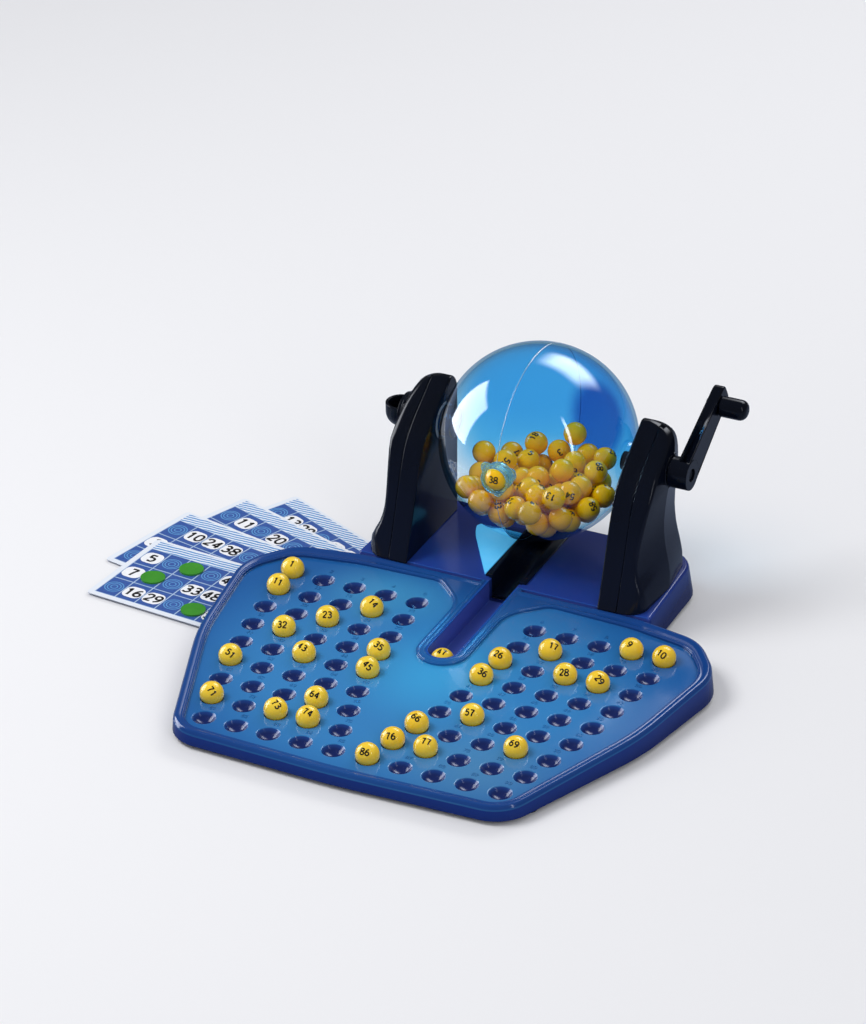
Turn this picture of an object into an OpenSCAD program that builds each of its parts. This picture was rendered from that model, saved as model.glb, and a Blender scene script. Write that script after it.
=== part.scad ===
// Bingo game: a ball machine with its number tray, 90 numbered balls,
// four 90-ball cards and their round markers. Millimetres, +Z up.
// The origin lies on the floor, on the centre plane, below the back row of
// cups. The deck frame has its origin on the deck surface above that point
// and slopes towards the player.

/* [Deck] */
// Slope of the deck towards the player, degrees
deck_tilt = 2.3; // [0:0.1:4]
// Height of the deck surface above the floor at the back row of cups
deck_lift = 17.8; // [16.5:0.1:24]
// Width of the number tray
tray_w = 322; // [310:1:340]
// Depth of the tray in front of the back row of cups
tray_front = 198; // [192:1:215]
// Depth of the tray behind the back row of cups
tray_back = 39; // [37:0.5:42]
// Wall of the tray and of the base
wall = 2; // [1.6:0.1:2.4]
// Height of the raised rim above the deck
rim_h = 2; // [1.5:0.1:3]
// Width of the rim at the front and sides
rim_w = 7; // [6:0.5:8]
// Extra width of the rim at the back
rim_back_extra = 4; // [2:0.5:5]
// How far the tray wall leans out on its way down
tray_draft = 2.5; // [1:0.1:4]
// Height of the soft bevel round the top of the rim
rim_bevel = 1.4; // [0.8:0.1:1.8]
// Clearance under the walls for cards and table
under_gap = 2.8; // [2.6:0.1:3.5]

/* [Cups and balls] */
// Rows of cups from back to front
cup_rows = 9; // [6:1:9]
// Cups in a row on each side of the tray
cup_cols = 5; // [3:1:5]
// Distance between cups in a row
cup_pitch = 22; // [20:0.5:22.5]
// Distance between rows
row_pitch = 21.67; // [19:0.01:22]
// Distance of the first cup of the back row from the centre
cup_first = 40.8; // [39:0.1:42]
// How far the columns lean inwards by the front row
columns_in = 29.3; // [20:0.1:30]
// Diameter of a ball
ball_d = 15; // [14:0.1:15.2]
// Depth of a bowl-shaped cup below the deck
cup_depth = 4.5; // [4:0.1:5.2]
// Width of the bevel round the mouth of a cup
cup_bevel = 0.9; // [0.5:0.1:1.2]
// Wall of a cup seen from below
cup_wall = 1.2; // [0.8:0.1:1.6]

/* [Ball channel] */
// Width inside the channel
channel_w = 19; // [17:0.5:19.5]
// Distance of the channel's round end in front of the back row
channel_end = 46; // [40:1:50]
// Depth of the channel below the deck
channel_depth = 12.5; // [11:0.5:13]
// Width of the rim on each side of the channel
channel_rim = 5.5; // [4:0.5:6]
// Radius of the flare where the channel rim meets the back rim
flare_r = 26; // [18:1:28]

/* [Base] */
// Width of the base outside the towers' feet, on each side
base_margin = 4.5; // [3:0.5:7]
// How much narrower the base is at the back
base_taper = 8; // [0:1:12]
// Depth of the base behind the globe axis
base_behind = 28.9; // [26:0.1:34]
// Radius of the base's back corners
base_corner_r = 22; // [10:1:28]
// How far the base wall leans out on its way down
base_draft = 4; // [1:0.5:5]
// Diameter of a foot pad
foot_d = 12; // [8:0.5:14]

/* [Towers] */
// Clearance between the globe and a tower
tower_gap = 2.8; // [2.4:0.1:4]
// Width of a tower at its foot
tower_w = 31; // [29:0.5:33]
// Height of a tower above the globe axis
tower_above = 26; // [24:0.5:29]
// Share of the width taken by the inner half
tower_split_share = 0.42; // [0.35:0.01:0.5]

/* [Globe] */
// Diameter of the globe
globe_d = 127.4; // [126:0.1:127.6]
// Wall of the globe
globe_wall = 2; // [1.5:0.1:2.2]
// Distance of the globe's front behind the back row of cups
globe_front = 31.4; // [30:0.1:33]
// Clearance between the globe and the deck's level
globe_lift = 13.3; // [12.8:0.1:15]
// Angle of the ball port above the horizontal, degrees
port_angle = 5; // [0:1:12]
// Clearance round the ball in the port
port_clear = 0.4; // [0.3:0.05:0.6]
// Wall of the port tube
port_wall = 1.5; // [1:0.1:1.8]
// Depth of the waiting ball's centre below the globe's surface
port_ball_sink = 1.7; // [0.7:0.1:2.7]

/* [Axle and crank] */
// Diameter of the solid axle on the crank side
axle_d = 12; // [10:0.5:14]
// Bore of the hollow axle that balls are fed through
feed_bore = 16.4; // [16:0.1:17]
// Wall of the hollow axle
feed_wall = 1.8; // [1.4:0.1:2.2]
// Radial running clearance of the axles in their bushes
run_clear = 0.06; // [0.03:0.01:0.09]
// Wall of a bush
bush_wall = 2.2; // [1.6:0.1:2.6]
// Diameter of the crank hub
hub_d = 20; // [18:0.5:22]
// Length of the hub between tower and arm
hub_l = 5; // [4:0.5:8]
// Thickness of the crank arm
arm_t = 7.5; // [6.5:0.5:9]
// Width of the crank arm at its hub
arm_w = 19; // [17:0.5:20]
// Width of the crank arm at its grip
arm_tip_w = 14; // [12:0.5:16]
// Distance from the globe axis to the grip axis
crank_r = 53; // [45:0.5:56]
// Angle of the crank above the horizontal, degrees
crank_angle = 29.5; // [20:0.5:40]
// Diameter of the grip
grip_d = 13.4; // [12:0.1:15]
// Length of the grip
grip_l = 18; // [15:0.5:22]

/* [Cards and markers] */
// Length of a card
card_w = 144; // [136:1:150]
// Height of a card
card_h = 82; // [74:1:84]
// Thickness of a card
card_t = 0.5; // [0.4:0.05:0.6]
// Diameter of a marker
marker_d = 16; // [14:0.5:18]
// Thickness of a marker
marker_t = 1.2; // [0.8:0.1:2]

/* [Hidden] */
$fn = 48;
// Overrun of every cut
over = 1;
// Clearance between fixed pieces, and of a ball in its seat
fit_gap = 0.3;
ball_r = ball_d / 2;
ball_rise = ball_r + fit_gap - cup_depth;
globe_r = globe_d / 2;
globe_in_r = globe_r - globe_wall;
axis_y = globe_front + globe_r;
axis_z = globe_lift + globe_r;
tower_in = globe_r + tower_gap;
base_w = 2 * (tower_in + tower_w + base_margin);
base_back = axis_y + base_behind;
// Steps of an arc in an outline
arc_steps = 7;

// Outlines: each corner is [x, y, radius]
function unit(v) = v / norm(v);
function cross2(u, v) = u[0] * v[1] - u[1] * v[0];
function xy(c) = [c[0], c[1]];
function corner_arc(a, p, b, r) =
    let (u = unit(a - p), v = unit(b - p), half = acos(u * v) / 2)
    let (mid = p + unit(u + v) * r / sin(half), from = p + u * r / tan(half) - mid)
    let (to = p + v * r / tan(half) - mid, start = atan2(from[1], from[0]))
    let (turn = (atan2(to[1], to[0]) - start + 540) % 360 - 180)
    [for (k = [0 : arc_steps]) mid + r * [cos(start + turn * k / arc_steps), sin(start + turn * k / arc_steps)]];
function rounded(corners) =
    let (n = len(corners))
    [for (i = [0 : n - 1])
        each corner_arc(xy(corners[(i + n - 1) % n]), xy(corners[i]), xy(corners[(i + 1) % n]), corners[i][2])];
// The same corners moved inwards by d, counter-clockwise outlines only
function inset(corners, d) =
    let (n = len(corners))
    [for (i = [0 : n - 1])
        let (p = xy(corners[i]), u = unit(p - xy(corners[(i + n - 1) % n])))
        let (v = unit(xy(corners[(i + 1) % n]) - p), bend = cross2(u, v))
        let (q = p + d * ([-u[1], u[0]] + [-v[1], v[0]]) / (1 + u * v))
        [q[0], q[1], corners[i][2] - d * sign(bend)]];
function mirrored(half) =
    [each half, for (i = [len(half) - 1 : -1 : 0]) if (half[i][0] > 0) [-half[i][0], half[i][1], half[i][2]]];

// A solid skin through rings of equal point counts, bottom ring first
module loft(rings) {
    n = len(rings[0]);
    sides = [for (k = [0 : len(rings) - 2], i = [0 : n - 1])
        let (j = (i + 1) % n, a = k * n + i, b = k * n + j)
        each [[a, a + n, b + n], [a, b + n, b]]];
    bottom = [for (i = [0 : n - 1]) i];
    top = [for (i = [n - 1 : -1 : 0]) (len(rings) - 1) * n + i];
    polyhedron([for (ring = rings) each ring], [bottom, top, each sides]);
}
function ring_at(points, z) = [for (p = points) [p[0], p[1], z]];

// Deck frame, and the space above the lower edge of the walls
module on_deck() {
    translate([0, 0, deck_lift])
        rotate([deck_tilt, 0, 0])
            children();
}
trim_block = 2 * tray_w;
module above_edge() {
    intersection() {
        on_deck() children();
        translate([-trim_block / 2, -trim_block / 2, under_gap])
            cube([trim_block, trim_block, trim_block]);
    }
}
// A depth below the deck that is under the floor everywhere
below_all = deck_lift + base_back * tan(deck_tilt) + 2 * under_gap;

// Tray outline: corners as shares of the half width and the front depth
tray_corner_shares = [
    [0, -1, 3.7], [0.696, -0.98, 0.15], [0.944, -0.43, 1.18],
    [1.022, -0.01, 0.23], [0.876, 0.146, 0.19], [0.59, 0.187, 0.75]
];
back_edge_share = tray_corner_shares[5][1];
tray_half_w = tray_w / 2;
// The shares behind the back row are of the depth whose own share this is
back_depth_share = 0.197;
function tray_corner_y(share) = share < 0 ? share * tray_front : share / back_depth_share * tray_back;
function tray_corner(s) = [s[0] * tray_half_w, tray_corner_y(s[1]), s[2] * tray_half_w];
tray_corners = mirrored([for (s = tray_corner_shares) tray_corner(s)]);
panel_frame = inset(tray_corners, rim_w);
panel_back_y = tray_back - rim_w - rim_back_extra;
neck_w = channel_w / 2 + wall + channel_rim;
// Place of the flare along the back rim, as a share of the half width
flare_share = 0.236;
neck_top_share = 0.17;
panel_half = [
    panel_frame[0], panel_frame[1], panel_frame[2],
    [panel_frame[3][0], panel_frame[3][1] - rim_back_extra, panel_frame[3][2]],
    [panel_frame[4][0], panel_frame[4][1] - rim_back_extra, panel_frame[4][2]],
    [panel_frame[5][0], panel_frame[5][1] - rim_back_extra, panel_frame[5][2]],
    [flare_share * tray_half_w, panel_back_y, flare_r / 2],
    [neck_w, panel_back_y - neck_top_share * tray_half_w + rim_w, flare_r],
    [neck_w, -channel_end - neck_w, neck_w]
];
// The neck's round end is one half circle, so its two corners share a radius
neck_end_share = 0.999;
panel_corners = mirrored([for (c = panel_half) [c[0], c[1], c[2] * neck_end_share]]);

// Cups: bowls round the balls' centres, in columns that curve inwards
lean_start_share = 0.22;
function lean(t) = columns_in * (lean_start_share * t + (1 - lean_start_share) * t * t);
function cup_at(side, row, col) =
    [side * (cup_first + col * cup_pitch - lean(row / (cup_rows - 1))), -row * row_pitch, 0];
bowl_r = ball_r + fit_gap;
seat_r = sqrt(pow(bowl_r, 2) - pow(ball_rise + cup_bevel, 2));
mouth_r = seat_r + cup_bevel;
module each_cup() {
    for ($side = [-1, 1], $row = [0 : cup_rows - 1], $col = [0 : cup_cols - 1])
        translate(cup_at($side, $row, $col))
            children();
}

module number_tray() {
    color([0.08, 0.5, 0.82])
        above_edge()
            difference() {
                union() {
                    difference() {
                        tray_skin();
                        tray_under();
                    }
                    each_cup()
                        translate([0, 0, -cup_depth - cup_wall])
                            cylinder(r = seat_r + cup_wall, h = cup_depth + cup_wall - wall / 2);
                    for (p = tray_feet)
                        foot_boss(p, -wall / 2);
                }
                panel_cut();
                channel_cut();
                tongue_cut();
                each_cup() {
                    translate([0, 0, -cup_bevel])
                        cylinder(r1 = seat_r, r2 = mouth_r + cup_bevel, h = 2 * cup_bevel);
                    translate([0, 0, ball_rise])
                        sphere(r = bowl_r);
                }
                for (x = screw_places)
                    translate([x, screw_y, -wall - over])
                        cylinder(r = screw_r + screw_gap, h = screw_bite + over);
            }
}
module tray_skin() {
    loft([
        ring_at(rounded(inset(tray_corners, -tray_draft)), -below_all),
        ring_at(rounded(tray_corners), rim_h - rim_bevel),
        ring_at(rounded(inset(tray_corners, rim_bevel)), rim_h)
    ]);
}
module tray_under() {
    loft([
        ring_at(rounded(inset(tray_corners, wall - tray_draft)), -below_all - over),
        ring_at(rounded(inset(tray_corners, wall + rim_bevel)), -wall)
    ]);
}
module panel_cut() {
    linear_extrude(rim_h + over)
        polygon(rounded(panel_corners));
}
module channel_cut() {
    gap_r = trough_r + fit_gap;
    translate([0, 0, -below_all - over]) {
        translate([0, -channel_end, 0])
            cylinder(r = gap_r, h = below_all + rim_h + 2 * over);
        translate([-gap_r, -channel_end, 0])
            cube([2 * gap_r, channel_end + tray_back + tray_front, below_all + rim_h + 2 * over]);
    }
}
module tongue_cut() {
    translate([-tongue_w / 2 - fit_gap, tongue_front - fit_gap, -wall - tongue_t - fit_gap])
        cube([tongue_w + 2 * fit_gap, tray_front, tongue_t + fit_gap]);
}
module foot_boss(p, top) {
    translate([p[0], p[1], -below_all])
        cylinder(d = foot_d, h = below_all + top);
}

// Feet: places as shares of the half width and the front depth
tray_foot_share = [0.708, -0.838];
base_foot_share = [0.78, 0.887];
tray_feet = [for (side = [-1, 1]) [side * tray_foot_share[0] * tray_half_w, tray_foot_share[1] * tray_front]];
base_feet = [for (side = [-1, 1]) [side * base_foot_share[0] * base_w / 2, base_foot_share[1] * base_back]];
module feet() {
    color([0.1, 0.1, 0.12]) {
        intersection() {
            on_deck()
                for (p = concat(tray_feet, base_feet))
                    foot_boss(p, -wall);
            translate([-trim_block / 2, -trim_block / 2, 0])
                cube([trim_block, trim_block, under_gap]);
        }
        cylinder(d = foot_d, h = under_gap);
    }
}

// Base: the plinth behind the tray, with the ball channel and a tongue
// that the tray is screwed to
trough_r = channel_w / 2 + wall;
trough_floor_t = 1.5;
trough_floor = channel_depth + trough_floor_t;
tongue_t = 1.6;
tongue_w = 120;
tongue_front = 12;
screw_r = 1.4;
screw_gap = 0.2;
screw_head_r = 2.8;
screw_head_t = 1.6;
screw_bite = 2.6;
// The heads clear the inside of the tray's back wall
screw_y = tray_corner_y(back_edge_share) - wall - rim_bevel - screw_head_r - fit_gap;
screw_shares = [-0.87, -0.4, 0.4, 0.87];
screw_places = [for (s = screw_shares) s * tongue_w / 2];
base_front = tray_back + fit_gap;
function base_corners(out, front, round_less) = mirrored([
    [base_w / 2 + out, front, wall],
    [(base_w - base_taper) / 2 + out, base_back + out, base_corner_r + out - round_less]
]);
module base_solid(in, down) {
    loft([
        ring_at(rounded(base_corners(base_draft - in, base_front + tray_draft + in, 0)), -below_all - down),
        ring_at(rounded(base_corners(-in, base_front + in, 0)), rim_h - rim_bevel - in),
        ring_at(rounded(base_corners(-in - rim_bevel, base_front + in, 0)), rim_h - in)
    ]);
}
module base() {
    color([0.12, 0.13, 0.5])
        difference() {
            union() {
                above_edge()
                    union() {
                        difference() {
                            base_solid(0, 0);
                            base_solid(wall, over);
                        }
                        for (p = base_feet)
                            foot_boss(p, rim_h - wall / 2);
                    }
                translate([0, 0, under_gap])
                    cylinder(d = foot_d, h = deck_lift - channel_depth - trough_floor_t / 2 - under_gap);
                on_deck() {
                    trough_outside();
                    tongue();
                }
            }
            on_deck() {
                trough_inside();
                chute_slot();
                for (x = screw_places)
                    translate([x, screw_y, -wall - tongue_t - over])
                        cylinder(r = screw_r + screw_gap, h = tongue_t + 2 * over);
                for (side = [-1, 1])
                    each_tower_screw(side)
                        translate([0, 0, -wall - over])
                            cylinder(r = screw_r + screw_gap, h = wall + 2 * over);
            }
        }
}
module trough_outside() {
    translate([0, -channel_end, -trough_floor])
        cylinder(r = trough_r, h = trough_floor + rim_h);
    translate([-trough_r, -channel_end, -trough_floor])
        cube([2 * trough_r, channel_end + chute_front, trough_floor + rim_h]);
}
module trough_inside() {
    translate([0, -channel_end, -channel_depth])
        cylinder(d = channel_w, h = channel_depth + rim_h + over);
    translate([-channel_w / 2, -channel_end, -channel_depth])
        cube([channel_w, channel_end + chute_front + over, channel_depth + rim_h + over]);
}
module tongue() {
    for (side = [-1, 1])
        translate([side > 0 ? trough_r - wall / 2 : -tongue_w / 2, tongue_front, -wall - tongue_t])
            cube([tongue_w / 2 - trough_r + wall / 2, base_front + tray_draft + wall - tongue_front, tongue_t]);
}
module base_screws() {
    color([0.7, 0.7, 0.72])
        on_deck()
            for (x = screw_places)
                translate([x, screw_y, -wall - tongue_t])
                    screw(tongue_t + screw_bite - fit_gap);
}
// A pan-head screw pointing up, with its head below the origin
module screw(reach) {
    translate([0, 0, -screw_head_t])
        cylinder(r = screw_head_r, h = screw_head_t);
    cylinder(r = screw_r, h = reach);
}

// Chute: a trough that takes a dropped ball to the channel
chute_front = base_front + wall + tray_draft;
chute_back = axis_y + ball_d + wall;
chute_wall = 1.6;
chute_w = channel_w + 2 * chute_wall;
chute_floor_front = -channel_depth + wall;
chute_floor_back = -ball_r / 2;
chute_top_front = rim_h + chute_wall;
chute_top_back = axis_z - globe_r - 2 * wall - over;
chute_lip = 3;
module chute_slot() {
    translate([-chute_w / 2 - fit_gap, chute_front, -channel_depth])
        cube([chute_w + 2 * fit_gap, chute_back - chute_front + fit_gap, channel_depth + rim_h + over]);
}
module chute() {
    color([0.05, 0.05, 0.07])
        on_deck() {
            difference() {
                union() {
                    chute_side(chute_w, chute_floor_front - chute_wall, chute_floor_back - chute_wall, 0);
                    translate([-chute_w / 2 - chute_lip, chute_front + fit_gap, rim_h])
                        cube([chute_w + 2 * chute_lip, chute_back - chute_front - fit_gap, chute_wall]);
                }
                chute_side(channel_w, chute_floor_front, chute_floor_back, over);
            }
        }
}
module chute_side(width, floor_front, floor_back, more) {
    front = chute_front + fit_gap - more;
    back = chute_back - (more > 0 ? chute_wall : 0);
    translate([-width / 2, 0, 0])
        rotate([90, 0, 90])
            linear_extrude(width)
                polygon([
                    [front, floor_front], [back, floor_back],
                    [back, chute_top_back + more], [axis_y, chute_top_back + more],
                    [front, chute_top_front + more]
                ]);
}

// Deflector: a thin clear plate that leads a bouncing ball back to the chute
deflector_t = 1.6;
// Corners: x is a share of the width, y and the radius are shares of the length
deflector_corner_shares = [
    [0, 0, 0.0125], [0, 1.08, 0.0125], [-1, 1.08, 0.0624], [-0.88, 0.86, 0.936], [-0.37, 0.36, 0.936]
];
deflector_w = 32;
module ball_deflector() {
    len_y = axis_y - chute_front;
    color([0.35, 0.75, 0.92, 0.6])
        on_deck()
            translate([-chute_w / 2 - chute_lip - fit_gap, chute_front + fit_gap, rim_h])
                linear_extrude(deflector_t)
                    polygon(rounded([for (s = deflector_corner_shares)
                        [s[0] * deflector_w, s[1] * len_y, s[2] * len_y]]));
}

// Towers: hollow lofts through rounded rings, each row of shares being height,
// front, ridge, ridge rounding, flank and back
foot_overlap = 3.3;
tower_behind = 8;
tower_front = base_front - foot_overlap;
tower_depth = base_back - tower_behind - tower_front;
tower_h = axis_z + tower_above - rim_h;
tower_edge_r = 1.5;
tower_back_r = 7;
tower_level_shares = [
    [0, 0, 0.955, 0.42, 1.02, 0.955], [0.1, 0.05, 0.92, 0.226, 1, 0.96],
    [0.2, 0.095, 0.755, 0.13, 0.92, 0.965], [0.3, 0.14, 0.69, 0.113, 0.83, 0.97],
    [0.43, 0.196, 0.71, 0.113, 0.78, 0.975], [0.58, 0.27, 0.76, 0.113, 0.79, 0.985],
    [0.7, 0.345, 0.8, 0.13, 0.82, 0.99], [0.8, 0.475, 0.775, 0.16, 0.82, 0.99],
    [0.87, 0.6, 0.76, 0.19, 0.79, 0.99], [0.92, 0.695, 0.7, 0.19, 0.73, 0.985],
    [0.96, 0.775, 0.6, 0.13, 0.62, 0.96], [0.985, 0.82, 0.42, 0.065, 0.44, 0.93],
    [1, 0.85, 0.2, 0.026, 0.21, 0.9]
];
// The flank's corner lies this far back, the back corner this far out
flank_back_share = 0.55;
back_out_share = 0.86;
ridge_back_share = 0.016;
// Rows that the hollow reaches up to
hollow_rows = 9;
tower_split = tower_in + tower_split_share * tower_w;
boss_share = 0.83;
boss_x = tower_in + boss_share * tower_w;
// A smooth curve through the rows, at the place u counted in rows
function on_rows(rows, u) =
    let (last = len(rows) - 1, i = min(floor(u), last - 1), f = u - i)
    let (a = rows[max(i - 1, 0)], b = rows[i], c = rows[i + 1], d = rows[min(i + 2, last)])
    b + (c - a) * f / 2 + (2 * a - 5 * b + 4 * c - d) * f * f / 2 + (3 * b - a - 3 * c + d) * f * f * f / 2;
function tower_corners(s) =
    let (front = tower_front + s[1] * tower_depth, back = tower_front + s[5] * tower_depth)
    let (r = s[3] * tower_w, flank = s[4] * tower_w)
    [[tower_in, front, tower_edge_r],
        [tower_in + s[2] * tower_w, front + ridge_back_share * tower_depth, r],
        [tower_in + flank, front + flank_back_share * (back - front), r],
        [tower_in + back_out_share * flank, back, min(2 * r, tower_back_r)],
        [tower_in, back, tower_edge_r]];
function kept_round(corners) = [for (c = corners) [c[0], c[1], max(c[2], screw_gap)]];
function tower_ring(u, in, up) =
    let (s = on_rows(tower_level_shares, u))
    ring_at(rounded(kept_round(inset(tower_corners(s), in))), rim_h + s[0] * tower_h + up);
module tower_form() {
    loft([for (u = [0 : 0.5 : len(tower_level_shares) - 1]) tower_ring(u, 0, 0)]);
}
module tower_hollow() {
    loft([tower_ring(0, wall, wall), for (u = [1 : hollow_rows]) tower_ring(u, wall, -wall)]);
}
module tower(side, bush_r) {
    mirror([side < 0 ? 1 : 0, 0, 0])
        difference() {
            union() {
                difference() {
                    tower_form();
                    tower_hollow();
                }
                axle_line(tower_in, boss_x)
                    cylinder(r = bush_r + wall, h = boss_x - tower_in);
            }
            axle_line(tower_in - over, boss_x)
                cylinder(r = bush_r, h = boss_x - tower_in + 2 * over);
            each_tower_screw(1)
                translate([0, 0, -over])
                    cylinder(r = screw_r + screw_gap, h = wall + 2 * over);
        }
}
module axle_line(from, to) {
    translate([from, axis_y, axis_z])
        rotate([0, 90, 0])
            children();
}
tower_screw_shares = [[0.22, 0.14], [0.22, 0.8], [0.68, 0.14], [0.68, 0.8]];
module each_tower_screw(side) {
    for (s = tower_screw_shares)
        translate([side * (tower_in + s[0] * tower_w), tower_front + s[1] * tower_depth, rim_h])
            children();
}
module half_of_tower(side, inner, bush_r) {
    reach = 2 * tower_h;
    color([0.04, 0.045, 0.06])
        on_deck()
            intersection() {
                tower(side, bush_r);
                mirror([side < 0 ? 1 : 0, 0, 0])
                    translate([tower_split - (inner ? reach : 0), 0, -reach / 2])
                        cube([reach, reach, 2 * reach]);
            }
}
module left_tower_inner() {
    half_of_tower(-1, true, left_bush_r);
}
module left_tower_outer() {
    half_of_tower(-1, false, left_bush_r);
}
module right_tower_inner() {
    half_of_tower(1, true, right_bush_r);
}
module right_tower_outer() {
    half_of_tower(1, false, right_bush_r);
}
module tower_screws() {
    color([0.7, 0.7, 0.72])
        on_deck()
            for (side = [-1, 1])
                each_tower_screw(side)
                    translate([0, 0, -wall])
                        screw(2 * wall + fit_gap);
}

// Bushes in the towers
feed_r = feed_bore / 2;
hollow_r = feed_r + feed_wall;
left_bush_r = hollow_r + run_clear + bush_wall;
right_bush_r = axle_d / 2 + run_clear + bush_wall;
module bush(side, outer, inner) {
    color([0.55, 0.56, 0.6])
        on_deck()
            mirror([side < 0 ? 1 : 0, 0, 0])
                axle_line(tower_in, boss_x)
                    difference() {
                        cylinder(r = outer, h = boss_x - tower_in);
                        translate([0, 0, -over])
                            cylinder(r = inner, h = boss_x - tower_in + 2 * over);
                    }
}
module left_bush() {
    bush(-1, left_bush_r, hollow_r + run_clear);
}
module right_bush() {
    bush(1, right_bush_r, axle_d / 2 + run_clear);
}

// Feed cup: an open cup with a round bottom and a round end, which leads a
// ball into the hollow axle
cup_reach = 5;
cup_rise = 6.5;
cup_flange = 2;
cup_steps = 9;
function cup_ring(r, from, w, z) =
    ring_at([[from, -w], for (k = [-cup_steps : cup_steps])
        [cup_reach + w * cos(90 * k / cup_steps), w * sin(90 * k / cup_steps)], [from, w]], z);
module cup_body(r, from, rise) {
    loft([for (k = [1 : cup_steps]) cup_ring(r, from, r * sin(90 * k / cup_steps), -r * cos(90 * k / cup_steps)),
        cup_ring(r, from, r, rise)]);
}
module feed_cup() {
    color([0.05, 0.05, 0.07])
        on_deck()
            mirror([1, 0, 0])
                difference() {
                    union() {
                        axle_line(boss_x, boss_x + cup_flange)
                            cylinder(r = left_bush_r + wall / 2, h = cup_flange);
                        translate([boss_x, axis_y, axis_z])
                            cup_body(hollow_r, 0, cup_rise);
                    }
                    axle_line(boss_x - over, boss_x)
                        cylinder(r = feed_r - fit_gap, h = cup_flange + 2 * over);
                    translate([boss_x, axis_y, axis_z])
                        cup_body(feed_r, cup_flange, cup_rise + over);
                }
}

// Globe: two clear halves on the axles, split on the centre plane
pole_wall = 3;
pole_sink = 5;
pole_clear = 1.2;
pole_r = hollow_r + pole_wall;
pole_in = globe_r - pole_sink;
pole_out = tower_in - pole_clear;
port_r = ball_r + port_clear + port_wall;
port_sink = 6.2;
port_lip = 2.3;
port_in = globe_r - port_sink;
port_out = globe_r + port_lip;
port_ball_r = globe_r - port_ball_sink;
// The flange round the port points down, its corners as shares of the tube's radius
port_flange = 1.2;
port_corner_shares = [[0.15, -1.55, 0.35], [1.45, 0.35, 0.4], [1.3, 0.95, 0.3], [-1.4, 1.1, 0.35]];
module at_port() {
    translate([0, axis_y, axis_z])
        rotate([90 - port_angle, 0, 0])
            children();
}
// A ball shell whose poles lie on the axle
module globe_shell(outer, inner) {
    translate([0, axis_y, axis_z])
        rotate([0, 90, 0])
            difference() {
                sphere(r = outer, $fn = 96);
                sphere(r = inner, $fn = 96);
            }
}
module globe_half(side, bore_r) {
    color([0.35, 0.75, 0.95, 0.35])
        on_deck()
            difference() {
                intersection() {
                    union() {
                        globe_shell(globe_r, globe_in_r);
                        mirror([side < 0 ? 1 : 0, 0, 0])
                            axle_line(pole_in, pole_out)
                                cylinder(r = pole_r, h = pole_out - pole_in);
                    }
                    translate([side < 0 ? -2 * globe_r : 0, axis_y - globe_d, axis_z - globe_d])
                        cube([2 * globe_r, 2 * globe_d, 2 * globe_d]);
                }
                mirror([side < 0 ? 1 : 0, 0, 0])
                    axle_line(pole_in - over, pole_out)
                        cylinder(r = bore_r, h = pole_out - pole_in + 2 * over);
                at_port()
                    cylinder(r = port_r, h = globe_d);
            }
}
module globe_left_half() {
    globe_half(-1, hollow_r);
}
module globe_right_half() {
    globe_half(1, axle_d / 2);
}
module left_axle() {
    color([0.6, 0.8, 0.9])
        on_deck()
            mirror([1, 0, 0])
                axle_line(pole_in, boss_x)
                    difference() {
                        cylinder(r = hollow_r, h = boss_x - pole_in - fit_gap);
                        translate([0, 0, -over])
                            cylinder(r = feed_r, h = boss_x - pole_in + 2 * over);
                    }
}
spigot_r = 4;
crank_bite = 4;
hub_start = boss_x + fit_gap;
crank_x = hub_start + hub_l;
module right_axle() {
    color([0.05, 0.05, 0.07])
        on_deck() {
            axle_line(pole_in, hub_start)
                cylinder(d = axle_d, h = hub_start - pole_in);
            difference() {
                axle_line(hub_start, crank_x)
                    cylinder(r = spigot_r, h = hub_l);
                axle_line(crank_x - crank_bite - fit_gap, crank_x)
                    cylinder(r = screw_r + screw_gap, h = crank_bite + fit_gap + over);
            }
        }
}
module port_tube() {
    color([0.45, 0.85, 0.95, 0.5])
        on_deck()
            difference() {
                union() {
                    at_port()
                        translate([0, 0, port_in])
                            cylinder(r = port_r, h = port_out - port_in);
                    intersection() {
                        globe_shell(globe_r + port_flange, globe_r);
                        at_port()
                            linear_extrude(globe_d)
                                polygon(rounded([for (s = port_corner_shares) s * port_r]));
                    }
                }
                at_port()
                    cylinder(r = ball_r + port_clear, h = globe_d);
            }
}
module port_ball() {
    color([1, 0.8, 0.1])
        on_deck()
            at_port()
                translate([0, 0, port_ball_r])
                    sphere(r = ball_r);
}

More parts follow.
